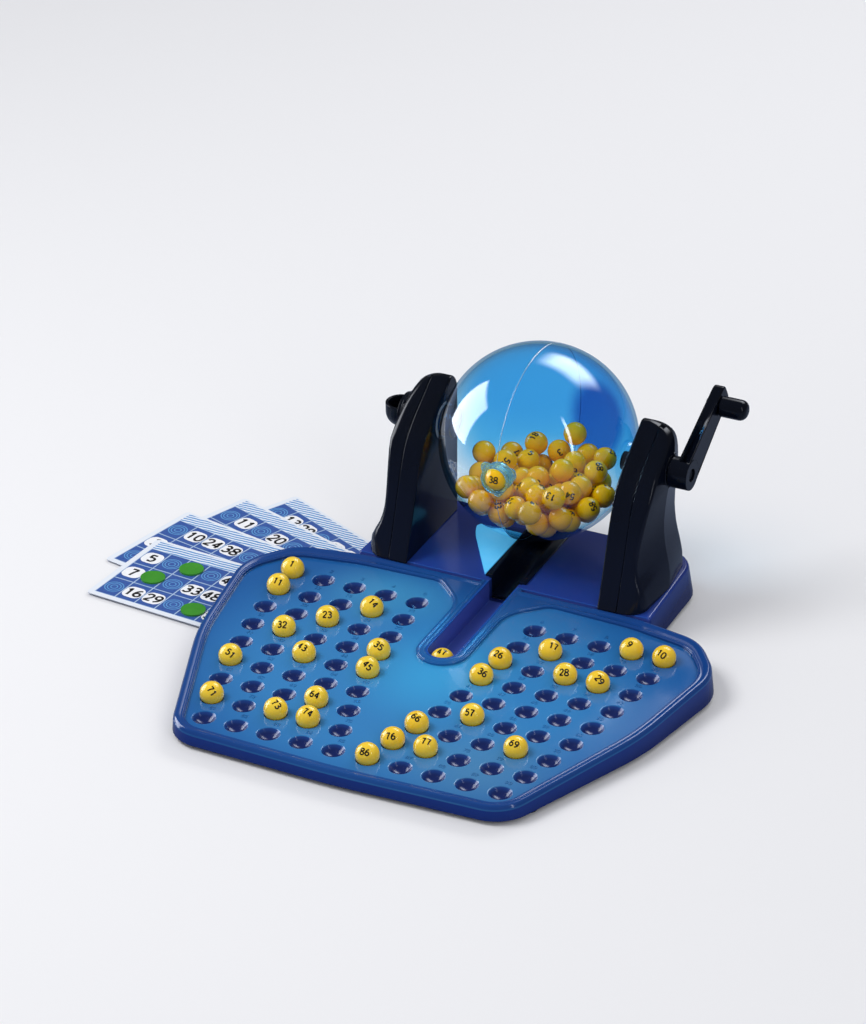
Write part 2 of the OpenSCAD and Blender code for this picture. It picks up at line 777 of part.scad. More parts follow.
// Crank: its arm lies in a plane across the axle and carries the grip
crank_tip = 12;
crank_tip_r = 4;
hub_proud = 0.5;
arm_bevel = 0.8;
screw_seat_r = 4.2;
screw_seat_t = 2.2;
pin_r = 2.5;
pin_head_r = 4;
pin_head_t = 1.5;
pin_reach = 12;
grip_round = 5;
grip_bevel = 1;
module at_crank(x) {
    on_deck()
        translate([x, axis_y, axis_z])
            rotate([crank_angle, 0, 0])
                rotate([90, 0, 90])
                    children();
}
arm_corners = [
    [0, -arm_w / 2, fit_gap], [crank_r + crank_tip, -arm_tip_w / 2, crank_tip_r],
    [crank_r + crank_tip, arm_tip_w / 2, crank_tip_r], [0, arm_w / 2, fit_gap]
];
function arm_ring(in, z) = ring_at(rounded(inset(arm_corners, in)), z);
module crank_arm() {
    color([0.04, 0.045, 0.06])
        difference() {
            union() {
                at_crank(hub_start)
                    cylinder(d = hub_d, h = hub_l + arm_t + hub_proud);
                at_crank(crank_x)
                    loft([arm_ring(arm_bevel, 0), arm_ring(0, arm_bevel), arm_ring(0, arm_t - arm_bevel),
                        arm_ring(arm_bevel, arm_t)]);
            }
            at_crank(hub_start - over)
                cylinder(r = spigot_r, h = hub_l + over);
            at_crank(crank_x - over)
                cylinder(r = screw_r + screw_gap, h = arm_t + 2 * over);
            at_crank(crank_x + arm_t - screw_seat_t)
                cylinder(r = screw_seat_r, h = screw_seat_t + over);
            at_crank(crank_x - over)
                translate([crank_r, 0, 0])
                    cylinder(r = pin_r, h = arm_t + 2 * over);
        }
}
module crank_screw() {
    color([0.7, 0.7, 0.72])
        at_crank(crank_x + arm_t - screw_seat_t)
            mirror([0, 0, 1])
                screw(arm_t - screw_seat_t + crank_bite);
}
module grip_pin() {
    color([0.7, 0.7, 0.72])
        at_crank(crank_x - pin_head_t)
            translate([crank_r, 0, 0]) {
                cylinder(r = pin_head_r, h = pin_head_t);
                cylinder(r = pin_r, h = pin_head_t + arm_t + pin_reach);
            }
}
module grip() {
    color([0.04, 0.045, 0.06])
        at_crank(crank_x + arm_t + fit_gap)
            translate([crank_r, 0, 0])
                difference() {
                    rotate_extrude()
                        polygon([[0, 0], [grip_d / 2 - grip_bevel, 0], [grip_d / 2, grip_bevel],
                            for (a = [0 : 15 : 90])
                                [grip_d / 2 - grip_round + grip_round * cos(a), grip_l - grip_round + grip_round * sin(a)],
                            [0, grip_l]]);
                    translate([0, 0, -over])
                        cylinder(r = pin_r + run_clear, h = pin_reach + over);
                }
}

// Balls: a map of the cups that hold one, back row first, seen by the player
taken_map = [
    "o.......oo", "o..o..o...", "..o..o.oo.", ".o..oo....", "..o.o.....",
    "o.....o...", "...o.o..o.", "o.oo.oo...", ".....o...."
];
module tray_balls() {
    middle = len(taken_map[0]) / 2;
    color([1, 0.8, 0.1])
        on_deck()
            each_cup()
                if (taken_map[$row][$side < 0 ? middle - 1 - $col : middle + $col] == "o")
                    translate([0, 0, ball_rise])
                        sphere(r = ball_r);
}
channel_ball_y = -channel_end - channel_w / 2 + ball_r + fit_gap;
module channel_ball() {
    color([1, 0.8, 0.1])
        on_deck()
            translate([0, channel_ball_y, -channel_depth + ball_r + fit_gap])
                sphere(r = ball_r);
}

// The balls in the globe settle by a rule: each sinks a little and is pushed
// away from its neighbours, the glass and the path of the port, many times
pile_count = 62;
settle_steps = 90;
still_steps = 50;
push_share = 0.8;
layer_count = 16;
layer_turn = 40;
ball_turn = 137.5;
start_share = 0.5;
spread_share = 0.62;
bottom_share = 2.7;
ball_space = ball_d + 2 * fit_gap;
function total(vs) = len(vs) == 0 ? [0, 0, 0] : [for (v = vs) 1] * vs;
function kept_in(p) =
    let (limit = globe_in_r - ball_r - fit_gap)
    norm(p) > limit ? p * limit / norm(p) : p;
// Away from the circle that the port and its ball sweep in the plane x = 0
function clear_of_port(p) =
    let (r = norm([p[1], p[2]]), near = [min(max(p[0], -port_r), port_r), max(r, port_in)])
    let (gap = [p[0] - near[0], r - near[1]], far = norm(gap), need = ball_r + fit_gap)
    let (moved = far < need && far > 0 ? [p[0], r] + gap * (need / far - 1) : [p[0], r])
    let (off = moved - [0, port_ball_r], away = norm(off), want = ball_d + fit_gap)
    let (end = away < want ? [0, port_ball_r] + off * want / away : moved)
    [end[0], p[1] * end[1] / r, p[2] * end[1] / r];
function settled(ps, steps, fall) =
    steps == 0 ? ps : settled([for (i = [0 : len(ps) - 1])
        let (p = ps[i], pushes = [for (j = [0 : len(ps) - 1])
            let (d = p - ps[j], far = norm(d))
            if (j != i && far < ball_space) d * (ball_space / far - 1) / 2])
        clear_of_port(kept_in(p + total(pushes) * push_share + [0, 0, -fall]))], steps - 1, fall);
function first_place(i) =
    let (layer = floor(i / layer_count), turn = i * ball_turn + layer * layer_turn)
    let (out = ball_d * (start_share + spread_share * sqrt(i % layer_count)))
    [out * cos(turn), out * sin(turn), (layer - bottom_share) * ball_d];
module globe_balls() {
    start = [for (i = [0 : pile_count - 1]) first_place(i)];
    fallen = settled(start, settle_steps, ball_d / 30);
    pile = settled(fallen, still_steps, 0);
    color([1, 0.75, 0.1])
        on_deck()
            translate([0, axis_y, axis_z])
                for (p = pile)
                    translate(p)
                        sphere(r = ball_r);
}

// Cards: a fan of four, each [x, y, turn] of its top left corner, on the floor
card_corner_shares = [[-1.68, 0.186, -5], [-1.6875, 0.483, -12], [-1.517, 0.719, -20], [-1.319, 0.847, -26]];
card_corner_r = 3;
card_margin = 4;
card_header = 12.5;
module card(k) {
    place = card_corner_shares[k];
    color([0.9, 0.95, 1])
        translate([place[0] * card_w, place[1] * card_w, (3 - k) * card_t])
            rotate([0, 0, place[2]])
                linear_extrude(card_t)
                    polygon(rounded([
                        [0, -card_h, card_corner_r], [card_w, -card_h, card_corner_r],
                        [card_w, 0, card_corner_r], [0, 0, card_corner_r]
                    ]));
}
module card_1() {
    card(0);
}
module card_2() {
    card(1);
}
module card_3() {
    card(2);
}
module card_4() {
    card(3);
}
// A map of the first card's cells that hold a marker, top row first
marker_map = ["..o......", ".o.......", "....o...."];
module markers() {
    place = card_corner_shares[0];
    rows = len(marker_map);
    cols = len(marker_map[0]);
    cell_w = (card_w - 2 * card_margin) / cols;
    cell_h = (card_h - card_margin - card_header) / rows;
    color([0.2, 0.6, 0.2, 0.8])
        translate([place[0] * card_w, place[1] * card_w, 4 * card_t])
            rotate([0, 0, place[2]])
                translate([card_margin + cell_w / 2, card_margin - card_h + cell_h / 2, 0])
                    for (col = [0 : cols - 1], row = [0 : rows - 1])
                        if (marker_map[row][col] == "o")
                            translate([col * cell_w, (rows - 1 - row) * cell_h, 0])
                                cylinder(d = marker_d, h = marker_t);
}

number_tray();
base();
feet();
base_screws();
left_tower_inner();
left_tower_outer();
right_tower_inner();
right_tower_outer();
tower_screws();
left_bush();
right_bush();
feed_cup();
chute();
ball_deflector();
tray_balls();
globe_balls();
channel_ball();
globe_left_half();
globe_right_half();
left_axle();
right_axle();
port_tube();
port_ball();
crank_arm();
crank_screw();
grip_pin();
grip();
card_1();
card_2();
card_3();
card_4();
markers();
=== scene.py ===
# Bingo game with cards: the looks of each piece, in the order the set is put together.
import math

import bmesh
import bpy
import numpy as np
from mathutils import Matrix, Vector


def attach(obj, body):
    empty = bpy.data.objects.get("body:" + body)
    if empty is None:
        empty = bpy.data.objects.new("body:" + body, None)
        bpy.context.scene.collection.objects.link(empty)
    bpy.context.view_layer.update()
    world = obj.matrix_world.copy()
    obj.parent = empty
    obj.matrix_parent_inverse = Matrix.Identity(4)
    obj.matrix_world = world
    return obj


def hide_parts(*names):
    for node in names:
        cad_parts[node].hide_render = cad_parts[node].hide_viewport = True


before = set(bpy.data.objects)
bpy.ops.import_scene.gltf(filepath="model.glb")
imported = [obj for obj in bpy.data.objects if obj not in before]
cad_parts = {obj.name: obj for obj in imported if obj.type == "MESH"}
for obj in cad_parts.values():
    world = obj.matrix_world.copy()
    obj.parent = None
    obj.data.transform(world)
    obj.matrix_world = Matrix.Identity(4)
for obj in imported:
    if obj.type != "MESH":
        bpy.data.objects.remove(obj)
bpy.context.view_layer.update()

# Number tray: one glossy injection moulding in mid blue, with a raised rim
# and ninety round seats. Each seat has its number raised from the mould
# just behind it, and the front and sides lean out like a shallow lid.
MM = 0.001
MERGE_GAP = 0.003 * MM
FLAT_TURN = math.radians(0.3)
DECK_TILT = math.radians(2.3)
DECK_LIFT = 17.8


def deck(points):
    """Deck-frame points in mm, (n, 3), turned by the deck's slope and lifted to the row frame in metres."""
    x, y, z = np.asarray(points, float).T
    c, s = math.cos(DECK_TILT), math.sin(DECK_TILT)
    return np.stack([x, y * c - z * s, DECK_LIFT + y * s + z * c], axis=1) * MM


class Wire:
    """A number or colour that runs through a finish. Arithmetic on numbers adds Math nodes."""

    def __init__(self, finish, socket):
        self.finish, self.socket = finish, socket

    def sum_up(self, operation, *terms):
        return self.finish.node("Math", {"operation": operation}, dict(enumerate(terms)))

    def __add__(self, other):
        return self.sum_up("ADD", self, other)

    def __sub__(self, other):
        return self.sum_up("SUBTRACT", self, other)

    def __rsub__(self, other):
        return self.sum_up("SUBTRACT", other, self)

    def __mul__(self, other):
        return self.sum_up("MULTIPLY", self, other)

    def __truediv__(self, other):
        return self.sum_up("DIVIDE", self, other)

    def __abs__(self):
        return self.sum_up("ABSOLUTE", self)

    def over(self, other):
        return self.sum_up("MAXIMUM", self, other)

    def under(self, other):
        return self.sum_up("MINIMUM", self, other)

    def root(self):
        return self.sum_up("SQRT", self)

    def within(self, low, high):
        """0 below low, 1 above high, and a smooth step between them."""
        ends = {"Value": self, "From Min": low, "From Max": high}
        return self.finish.node("MapRange", {"interpolation_type": "SMOOTHSTEP"}, ends)


class Finish:
    """One material of the set, built on a Principled shader."""

    def __init__(self, name):
        self.material = bpy.data.materials.new(name)
        self.material.use_nodes = True
        self.tree = self.material.node_tree
        self.shader = self.tree.nodes["Principled BSDF"]
        self.outlet = self.tree.nodes["Material Output"]

    def node(self, kind, settings=None, inputs=None, output=0):
        made = self.tree.nodes.new("ShaderNode" + kind)
        for key, value in (settings or {}).items():
            setattr(made, key, value)
        for key, value in (inputs or {}).items():
            self.join(made.inputs[key], value)
        return Wire(self, made.outputs[output])

    def join(self, socket, value):
        if isinstance(value, Wire):
            self.tree.links.new(value.socket, socket)
        else:
            socket.default_value = value

    def set(self, values):
        for key, value in values.items():
            self.join(self.shader.inputs[key], value)

    def place(self):
        """Object coordinates, in metres."""
        return self.node("TexCoord", output="Object")

    def deck_place(self):
        """Deck-frame x, y and z of the shaded point, in mm."""
        c, s = math.cos(DECK_TILT), math.sin(DECK_TILT)
        split = self.node("SeparateXYZ", inputs={0: self.place()})
        x, y, z = (Wire(self, split.socket.node.outputs[i]) * (1 / MM) for i in range(3))
        up = z - DECK_LIFT
        return x, y * c + up * s, up * c - y * s

    def blend(self, share, first, second):
        return self.node("Mix", {"data_type": "RGBA"}, {0: share, 6: first, 7: second}, output=2)

    def mixed(self, share, first, second):
        """Two shaders in one, with this share of the second."""
        return self.node("MixShader", inputs={0: share, 1: first, 2: second})

    def surface(self, shader):
        self.join(self.outlet.inputs["Surface"], shader)

    def away(self, x, y, middle, reach):
        """Distance from a middle, as a share of the reach along x and along y."""
        u, v = (x - middle[0]) / reach[0], (y - middle[1]) / reach[1]
        return (u * u + v * v).root()

    def soft_spot(self, x, y, middle, reach):
        """1 at a spot's middle, falling smoothly to 0 at its reach along x and y."""
        return self.away(x, y, middle, reach).within(1.0, 0.0)

    def speckle(self, scale, detail=2.0, rough=0.5):
        values = {"Vector": self.place(), "Scale": scale, "Detail": detail, "Roughness": rough}
        return self.node("TexNoise", inputs=values)

    def relief(self, height, strength, distance=MM):
        return self.node("Bump", inputs={"Strength": strength, "Distance": distance, "Height": height})

    def moulded(self, rough, spread=0.06, orange_peel=0.08):
        """Moulded plastic: roughness that drifts with handling, and a faint
        orange peel under the gloss."""
        wear = self.speckle(38.0, 3.0)
        self.set({"Roughness": wear * spread + (rough - spread / 2)})
        self.set({"Normal": self.relief(self.speckle(900.0, 2.0), orange_peel, 0.05 * MM)})
        return wear

    def dress(self, *nodes):
        for name in nodes:
            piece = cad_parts[name]
            piece.data.materials.clear()
            piece.data.materials.append(self.material)


def add_piece(name, mesh, finish, body):
    mesh.materials.clear()
    mesh.materials.append(finish.material)
    piece = bpy.data.objects.new(name, mesh)
    bpy.context.scene.collection.objects.link(piece)
    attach(piece, body)
    return piece


def merged(work, crisp):
    """Loose triangles joined into flat faces, smooth except over edges that
    turn by more than crisp degrees."""
    bmesh.ops.remove_doubles(work, verts=work.verts, dist=MERGE_GAP)
    bmesh.ops.dissolve_limit(work, angle_limit=FLAT_TURN, verts=work.verts, edges=work.edges)
    for face in work.faces:
        face.smooth = True
    for edge in work.edges:
        edge.smooth = edge.is_manifold and edge.calc_face_angle(0.0) < math.radians(crisp)


def mouldings(finish, *nodes, body="machine", edge=0.3, crisp=32.0):
    """Each node as it comes from its mould: a merged copy, smooth between its
    edges, which are rounded by edge mm."""
    for name in nodes:
        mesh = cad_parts[name].data.copy()
        work = bmesh.new()
        work.from_mesh(mesh)
        merged(work, crisp)
        mesh = bpy.data.meshes.new(name + "_moulding")
        work.to_mesh(mesh)
        work.free()
        piece = add_piece(name + "_moulding", mesh, finish, body)
        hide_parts(name)
        if edge:
            rounding = piece.modifiers.new("rounding", "BEVEL")
            rounding.width = edge * MM
            rounding.segments = 2
            rounding.limit_method = "ANGLE"
            rounding.angle_limit = math.radians(crisp)
            rounding.use_clamp_overlap = False
            rounding.harden_normals = True


def rgb(r, g, b):
    """A colour written as it looks on screen, 0 to 255, as linear light."""
    shades = np.array([r, g, b]) / 255
    linear = np.where(shades <= 0.04045, shades / 12.92, ((shades + 0.055) / 1.055) ** 2.4)
    return (*linear.tolist(), 1.0)


# Painted pools of light on the panel, in deck mm: middle, reach, share and colour.
PAINTED_LIGHT_POOLS = [
    ((-62.0, 2.0), (60.0, 40.0), 0.8, (70, 150, 200)),
    ((76.0, -158.0), (70.0, 60.0), 0.6, (78, 134, 176)),
    ((6.0, -72.0), (62.0, 70.0), 1.0, (58, 158, 216)),
]
TRAY_MIDDLE, TRAY_REACH = (0.0, -80.0), (150.0, 130.0)
# Half width of the field of seats at the back row, its lean, its front and back
SEATS_HALF_W, SEATS_LEAN, SEATS_FRONT, SEATS_BACK = 141.0, 0.165, -187.0, 16.0
CHANNEL_HALF_W, CHANNEL_FRONT = 21.0, -66.0


def tray_plastic():
    finish = Finish("tray_blue_plastic")
    x, y, z = finish.deck_place()
    edge = finish.away(x, y, TRAY_MIDDLE, TRAY_REACH)
    # Painted light: the panel and the rim are painted paler towards the tray's middle and darker towards its
    # edges, and pools of light are painted on the panel.
    panel = finish.blend(edge.within(0.55, 1.15), rgb(54, 128, 190), rgb(30, 92, 160))
    for middle, reach, share, colour in PAINTED_LIGHT_POOLS:
        panel = finish.blend(finish.soft_spot(x, y, middle, reach) * share, panel, rgb(*colour))
    rim = finish.blend(edge.within(0.5, 1.1), rgb(32, 96, 164), rgb(24, 66, 134))
    # Painted shade: the outer wall is painted darker downwards, and each seat darker with its depth.
    wall = finish.blend(z.within(0.0, -14.0), rgb(16, 52, 134), rgb(18, 34, 104))
    seat = finish.blend(z.within(-0.5, -3.0), rgb(24, 62, 134), rgb(20, 38, 98))
    inside = (abs(x) - y * SEATS_LEAN).within(SEATS_HALF_W, SEATS_HALF_W - 1)
    inside = inside * y.within(SEATS_FRONT, SEATS_FRONT + 1) * y.within(SEATS_BACK, SEATS_BACK - 1)
    beside = abs(x).within(CHANNEL_HALF_W, CHANNEL_HALF_W - 1) * y.within(CHANNEL_FRONT, CHANNEL_FRONT + 1)
    sunk = z.within(-0.1, -0.7)
    in_seat = sunk * inside * (1.0 - beside)
    shade = finish.blend(z.within(0.1, 0.9), panel, rim)
    shade = finish.blend(sunk, shade, finish.blend(inside * (1.0 - beside), wall, seat))
    wear = finish.moulded(0.15)
    finish.set({"Base Color": shade, "Roughness": wear * 0.06 + 0.12 + in_seat * 0.08})
    finish.set({"Specular IOR Level": 0.38, "Coat Weight": 0.12, "Coat Roughness": 0.05, "IOR": 1.5})
    return finish


tray_blue = tray_plastic()
mouldings(tray_blue, "number_tray", edge=0.35)

# Rim beads of the tray: the moulded rim is soft, with a rounded crest along
# its outside and a small lip where it drops to the panel and the channel.
TRAY_W, TRAY_FRONT, TRAY_BACK, RIM_W, RIM_BACK_EXTRA = 322.0, 198.0, 39.0, 7.0, 4.0
CHANNEL_W, CHANNEL_END, CHANNEL_RIM, WALL, FLARE_R = 19.0, 46.0, 5.5, 2.0, 26.0
TRAY_CORNER_SHARES = [
    (0, -1, 3.7), (0.696, -0.98, 0.15), (0.944, -0.43, 1.18),
    (1.022, -0.01, 0.23), (0.876, 0.146, 0.19), (0.59, 0.187, 0.75),
]
BACK_DEPTH_SHARE = 0.197


def mirrored(half):
    """Right-hand corners and their mirror images, counter-clockwise."""
    return half + [(-x, y, r) for x, y, r in reversed(half) if x > 0]


def unit(v):
    return v / np.linalg.norm(v, axis=-1, keepdims=True)


def neighbours(corners):
    """Corners as an array, with the unit way in from the last one and out to the next."""
    c = np.asarray(corners, float)
    at = c[:, :2]
    return c, unit(at - np.roll(at, 1, axis=0)), unit(np.roll(at, -1, axis=0) - at)


def inset(corners, d):
    """Corners moved inwards by d: each goes along the sum of its two edge
    normals, and its radius follows its bend."""
    c, back, ahead = neighbours(corners)
    left = lambda v: np.stack([-v[:, 1], v[:, 0]], axis=1)
    moved = c[:, :2] + d * (left(back) + left(ahead)) / (1 + (back * ahead).sum(axis=1))[:, None]
    bend = np.sign(back[:, 0] * ahead[:, 1] - back[:, 1] * ahead[:, 0])
    return [tuple(row) for row in np.column_stack([moved, c[:, 2] - d * bend])]


def rounded(corners, steps=14):
    """Each corner as an arc of its radius, tangent to both edges, from the end
    of one edge to the start of the next."""
    c, back, ahead = neighbours(corners)
    half = np.arccos(np.clip(-(back * ahead).sum(axis=1), -1, 1)) / 2
    middle = c[:, :2] + unit(ahead - back) * (c[:, 2] / np.sin(half))[:, None]
    first = c[:, :2] - back * (c[:, 2] / np.tan(half))[:, None] - middle
    last = c[:, :2] + ahead * (c[:, 2] / np.tan(half))[:, None] - middle
    start = np.arctan2(first[:, 1], first[:, 0])
    turn = (np.arctan2(last[:, 1], last[:, 0]) - start + 3 * np.pi) % (2 * np.pi) - np.pi
    angle = start[:, None] + turn[:, None] * np.linspace(0, 1, steps + 1)
    arc = np.stack([np.cos(angle), np.sin(angle)], axis=-1)
    return (middle[:, None] + c[:, 2, None, None] * arc).reshape(-1, 2)


def spaced(line, step, closed=True):
    """The same outline in points about step mm apart."""
    ends = np.vstack([line, line[:1]]) if closed else line
    far = np.concatenate([[0], np.cumsum(np.linalg.norm(np.diff(ends, axis=0), axis=1))])
    at = np.linspace(0, far[-1], int(far[-1] / step) + 1)
    at = at[:-1] if closed else at
    return np.stack([np.interp(at, far, ends[:, k]) for k in (0, 1)], axis=1)


def carried(line, profile, closed=True):
    """A profile of (out, height) pairs in mm carried along an outline on the
    deck; out is to the right of the way."""
    if closed:
        way = np.roll(line, -1, axis=0) - np.roll(line, 1, axis=0)
    else:
        way = np.gradient(line, axis=0)
    way = unit(way)
    right = np.stack([way[:, 1], -way[:, 0]], axis=1)
    flat = line[:, None] + profile[None, :, :1] * right[:, None]
    points = np.concatenate([flat, np.broadcast_to(profile[:, 1:], (len(line), len(profile), 1))], axis=-1)
    n, m = len(line), len(profile)
    rows = np.arange(n if closed else n - 1)[:, None]
    cols = np.arange(m - 1)[None, :]
    ahead = (rows + 1) % n
    faces = np.stack([rows * m + cols, ahead * m + cols, ahead * m + cols + 1, rows * m + cols + 1], axis=-1)
    return points.reshape(-1, 3), faces.reshape(-1, 4)


def crest(wide, low_out, low_in, high, peak_share=0.5, steps=12):
    """A soft ridge: height rises as a sine to the peak and falls as a sine on the other side."""
    s = np.linspace(0, 1, steps + 1)
    rise = np.sin(np.clip(s / peak_share, 0, 1) * np.pi / 2)
    fall = np.sin(np.clip((1 - s) / (1 - peak_share), 0, 1) * np.pi / 2)
    low = np.where(s < peak_share, low_out, low_in)
    return np.column_stack([-s * wide, low + (high - low) * rise * fall])


TRAY_CORNERS = mirrored([
    (x * TRAY_W / 2, y * TRAY_FRONT if y < 0 else y / BACK_DEPTH_SHARE * TRAY_BACK, r * TRAY_W / 2)
    for x, y, r in TRAY_CORNER_SHARES
])
NECK_W = CHANNEL_W / 2 + WALL + CHANNEL_RIM
FLARE_SHARE, NECK_TOP_SHARE, NECK_END_SHARE = 0.236, 0.17, 0.999
MOUTH_GAP, CHANNEL_LIP = 0.3, 11.0


def panel_corners():
    """Corners of the sunk panel: the frame's own, then the flare and the neck round the channel."""
    frame_corners = inset(TRAY_CORNERS, RIM_W)
    back = TRAY_BACK - RIM_W - RIM_BACK_EXTRA
    half = [(x, y - RIM_BACK_EXTRA * (k > 2), r) for k, (x, y, r) in enumerate(frame_corners[:6])]
    half += [(FLARE_SHARE * TRAY_W / 2, back, FLARE_R / 2)]
    half += [(NECK_W, back - NECK_TOP_SHARE * TRAY_W / 2 + RIM_W, FLARE_R)]
    half += [(NECK_W, -CHANNEL_END - NECK_W, NECK_W)]
    return mirrored([(x, y, r * NECK_END_SHARE) for x, y, r in half])


def channel_line(half_w, top):
    """The channel's outline from its open left end round the front and back:
    two straight sides and a half circle."""
    turn = np.linspace(np.pi, 2 * np.pi, 40)
    bend = np.stack([half_w * np.cos(turn), half_w * np.sin(turn) - CHANNEL_END], axis=1)
    return np.vstack([[-half_w, top], bend, [half_w, top]])


def rim_beads():
    """The outer crest, open where the channel runs out at the back, the lip
    round the panel and the lip round the channel."""
    edge = spaced(rounded(TRAY_CORNERS), 3.0)
    mouth = CHANNEL_W / 2 + WALL + MOUTH_GAP
    start = np.flatnonzero((edge[:, 1] > 0) & (abs(edge[:, 0]) < mouth))
    edge = np.roll(edge, -start[-1] - 1, axis=0)[: len(edge) - len(start)]
    edge = np.vstack([[-mouth, edge[0, 1]], edge, [mouth, edge[-1, 1]]])
    panel = spaced(rounded(panel_corners()), 2.5)
    channel = spaced(channel_line(CHANNEL_LIP, TRAY_BACK), 2.0, False)
    outer = carried(edge, crest(wide=5.6, low_out=0.4, low_in=1.95, high=2.75, peak_share=0.36), False)
    lip = carried(panel, crest(wide=-3.2, low_out=0.05, low_in=1.95, high=2.45, peak_share=0.42))
    around = carried(channel, crest(wide=-3.4, low_out=1.9, low_in=1.95, high=2.6, peak_share=0.4), False)
    points, faces = gather([outer, (lip[0], lip[1][:, ::-1]), (around[0], around[1][:, ::-1])])
    make_piece("rim_beads", deck(points), faces, "machine", tray_blue, smooth=True)


# Numbers of the tray: each stands up from the mould 0.3 mm, behind its cup.
# The cups' places come first, because the balls lie in them too.
CUP_ROWS, CUP_COLS = 9, 5
CUP_PITCH, ROW_PITCH, CUP_FIRST, COLUMNS_IN = 22.0, 21.67, 40.8, 29.3
LEAN_LINEAR, LEAN_SQUARE = 0.22, 0.78
BALL_R = 7.5


def cup_places(side, row, col):
    """Cup centres on the deck: rows a fixed step apart, columns that lean in
    by a square law towards the player."""
    t = np.asarray(row) / (CUP_ROWS - 1)
    lean = COLUMNS_IN * (LEAN_LINEAR * t + LEAN_SQUARE * t * t)
    across = side * (CUP_FIRST + np.asarray(col) * CUP_PITCH - lean)
    return np.stack([across, -row * ROW_PITCH, 0 * t], axis=-1)


def seat_number(side, row, col):
    """Rows count from the back, and each row from the left."""
    return row * 2 * CUP_COLS + (CUP_COLS - col if side < 0 else CUP_COLS + 1 + col)


# Strokes of the plain figures in a box one unit high, each a list of points
# on a smooth line. They serve the tray, the balls and the cards.
FIGURES = {
    "0": [
        [
            (0.3, 0.96), (0.08, 0.8), (0.04, 0.5), (0.08, 0.2), (0.3, 0.04), (0.52, 0.2), (0.56, 0.5),
            (0.52, 0.8), (0.3, 0.96),
        ],
    ],
    "1": [[(0.12, 0.74), (0.34, 0.95)], [(0.33, 0.99), (0.33, 0.02)]],
    "2": [
        [
            (0.07, 0.72), (0.14, 0.9), (0.3, 0.96), (0.48, 0.9), (0.54, 0.7), (0.44, 0.48), (0.24, 0.26),
            (0.07, 0.08),
        ],
        [(0.03, 0.06), (0.57, 0.06)],
    ],
    "3": [
        [(0.08, 0.86), (0.28, 0.96), (0.5, 0.84), (0.48, 0.62), (0.24, 0.53)],
        [(0.24, 0.53), (0.52, 0.44), (0.54, 0.2), (0.3, 0.04), (0.06, 0.14)],
    ],
    "4": [[(0.42, 0.97), (0.05, 0.32)], [(0.02, 0.3), (0.58, 0.3)], [(0.42, 0.99), (0.42, 0.02)]],
    "5": [
        [(0.5, 0.94), (0.12, 0.94)],
        [(0.13, 0.97), (0.09, 0.52)],
        [(0.09, 0.54), (0.3, 0.6), (0.52, 0.5), (0.55, 0.26), (0.36, 0.05), (0.06, 0.12)],
    ],
    "6": [
        [
            (0.46, 0.94), (0.2, 0.76), (0.06, 0.46), (0.08, 0.18), (0.3, 0.04), (0.52, 0.16),
            (0.52, 0.42), (0.32, 0.54), (0.08, 0.4),
        ],
    ],
    "7": [[(0.04, 0.94), (0.56, 0.94)], [(0.54, 0.94), (0.34, 0.5), (0.24, 0.02)]],
    "8": [
        [
            (0.3, 0.52), (0.08, 0.66), (0.1, 0.88), (0.3, 0.96), (0.5, 0.88), (0.52, 0.66), (0.3, 0.52),
            (0.06, 0.36), (0.07, 0.12), (0.3, 0.04), (0.53, 0.12), (0.54, 0.36), (0.3, 0.52),
        ],
    ],
    "9": [
        [
            (0.52, 0.6), (0.3, 0.46), (0.08, 0.58), (0.08, 0.84), (0.3, 0.96), (0.52, 0.82),
            (0.54, 0.54), (0.42, 0.26), (0.14, 0.05),
        ],
    ],
}


def smooth_line(points, per_span=4, straight_steps=8):
    """Catmull-Rom line through the points: each span is a cubic whose end
    slopes follow its neighbours. Two points give a straight line."""
    p = np.asarray(points, float)
    if len(p) == 2:
        return p[0] + np.linspace(0, 1, straight_steps)[:, None] * (p[1] - p[0])
    closed = np.allclose(p[0], p[-1])
    before = p[-2] if closed else 2 * p[0] - p[1]
    after = p[1] if closed else 2 * p[-1] - p[-2]
    q = np.vstack([before, p, after])
    t = (np.arange(per_span) / per_span)[None, :, None]
    a, b, c, d = q[:-3, None], q[1:-2, None], q[2:-1, None], q[3:, None]
    line = 0.5 * (2 * b + (c - a) * t + (2 * a - 5 * b + 4 * c - d) * t**2 + (3 * b - a - 3 * c + d) * t**3)
    return np.vstack([line.reshape(-1, 2), p[-1]])


FIGURE_STEP, FIGURE_WIDTH = 0.74, 0.6


def figure_ribbons(number, height, bold):
    """The figures of a number as flat ribbons centred on the origin, in mm:
    each stroke is carried along its line with the width bold."""
    text = str(number)
    width = FIGURE_STEP * (len(text) - 1) + FIGURE_WIDTH
    points, faces = [], []
    for place, sign in enumerate(text):
        for stroke in FIGURES[sign]:
            line = smooth_line(stroke)
            along = np.gradient(line, axis=0)
            along /= np.linalg.norm(along, axis=1)[:, None]
            across = np.stack([-along[:, 1], along[:, 0]], axis=1) * bold / height / 2
            rows = np.stack([line - across, line, line + across], axis=1)
            rows = (rows + [place * FIGURE_STEP - width / 2, -0.5]) * height
            first = sum(len(p) for p in points)
            n = len(line)
            i = np.arange(n - 1)[:, None] * 3 + np.arange(2)[None, :]
            quads = np.stack([i, i + 3, i + 4, i + 1], axis=-1).reshape(-1, 4)
            points.append(rows.reshape(-1, 2))
            faces.append(quads + first)
    return np.vstack(points), np.vstack(faces)


def make_piece(name, points, faces, body, finish, smooth=False):
    """A mesh in the row frame, in metres, that rides on a body."""
    mesh = bpy.data.meshes.new(name)
    mesh.from_pydata(np.asarray(points).tolist(), [], [list(map(int, f)) for f in faces])
    mesh.validate()
    mesh.polygons.foreach_set("use_smooth", np.full(len(mesh.polygons), smooth))
    mesh.update()
    add_piece(name, mesh, finish, body)


def gather(parts):
    """Several (points, faces) in one pair, with the face numbers moved on."""
    points, faces, first = [], [], 0
    for p, f in parts:
        points.append(p)
        faces.append(np.asarray(f) + first)
        first += len(p)
    return np.vstack(points), np.vstack(faces)


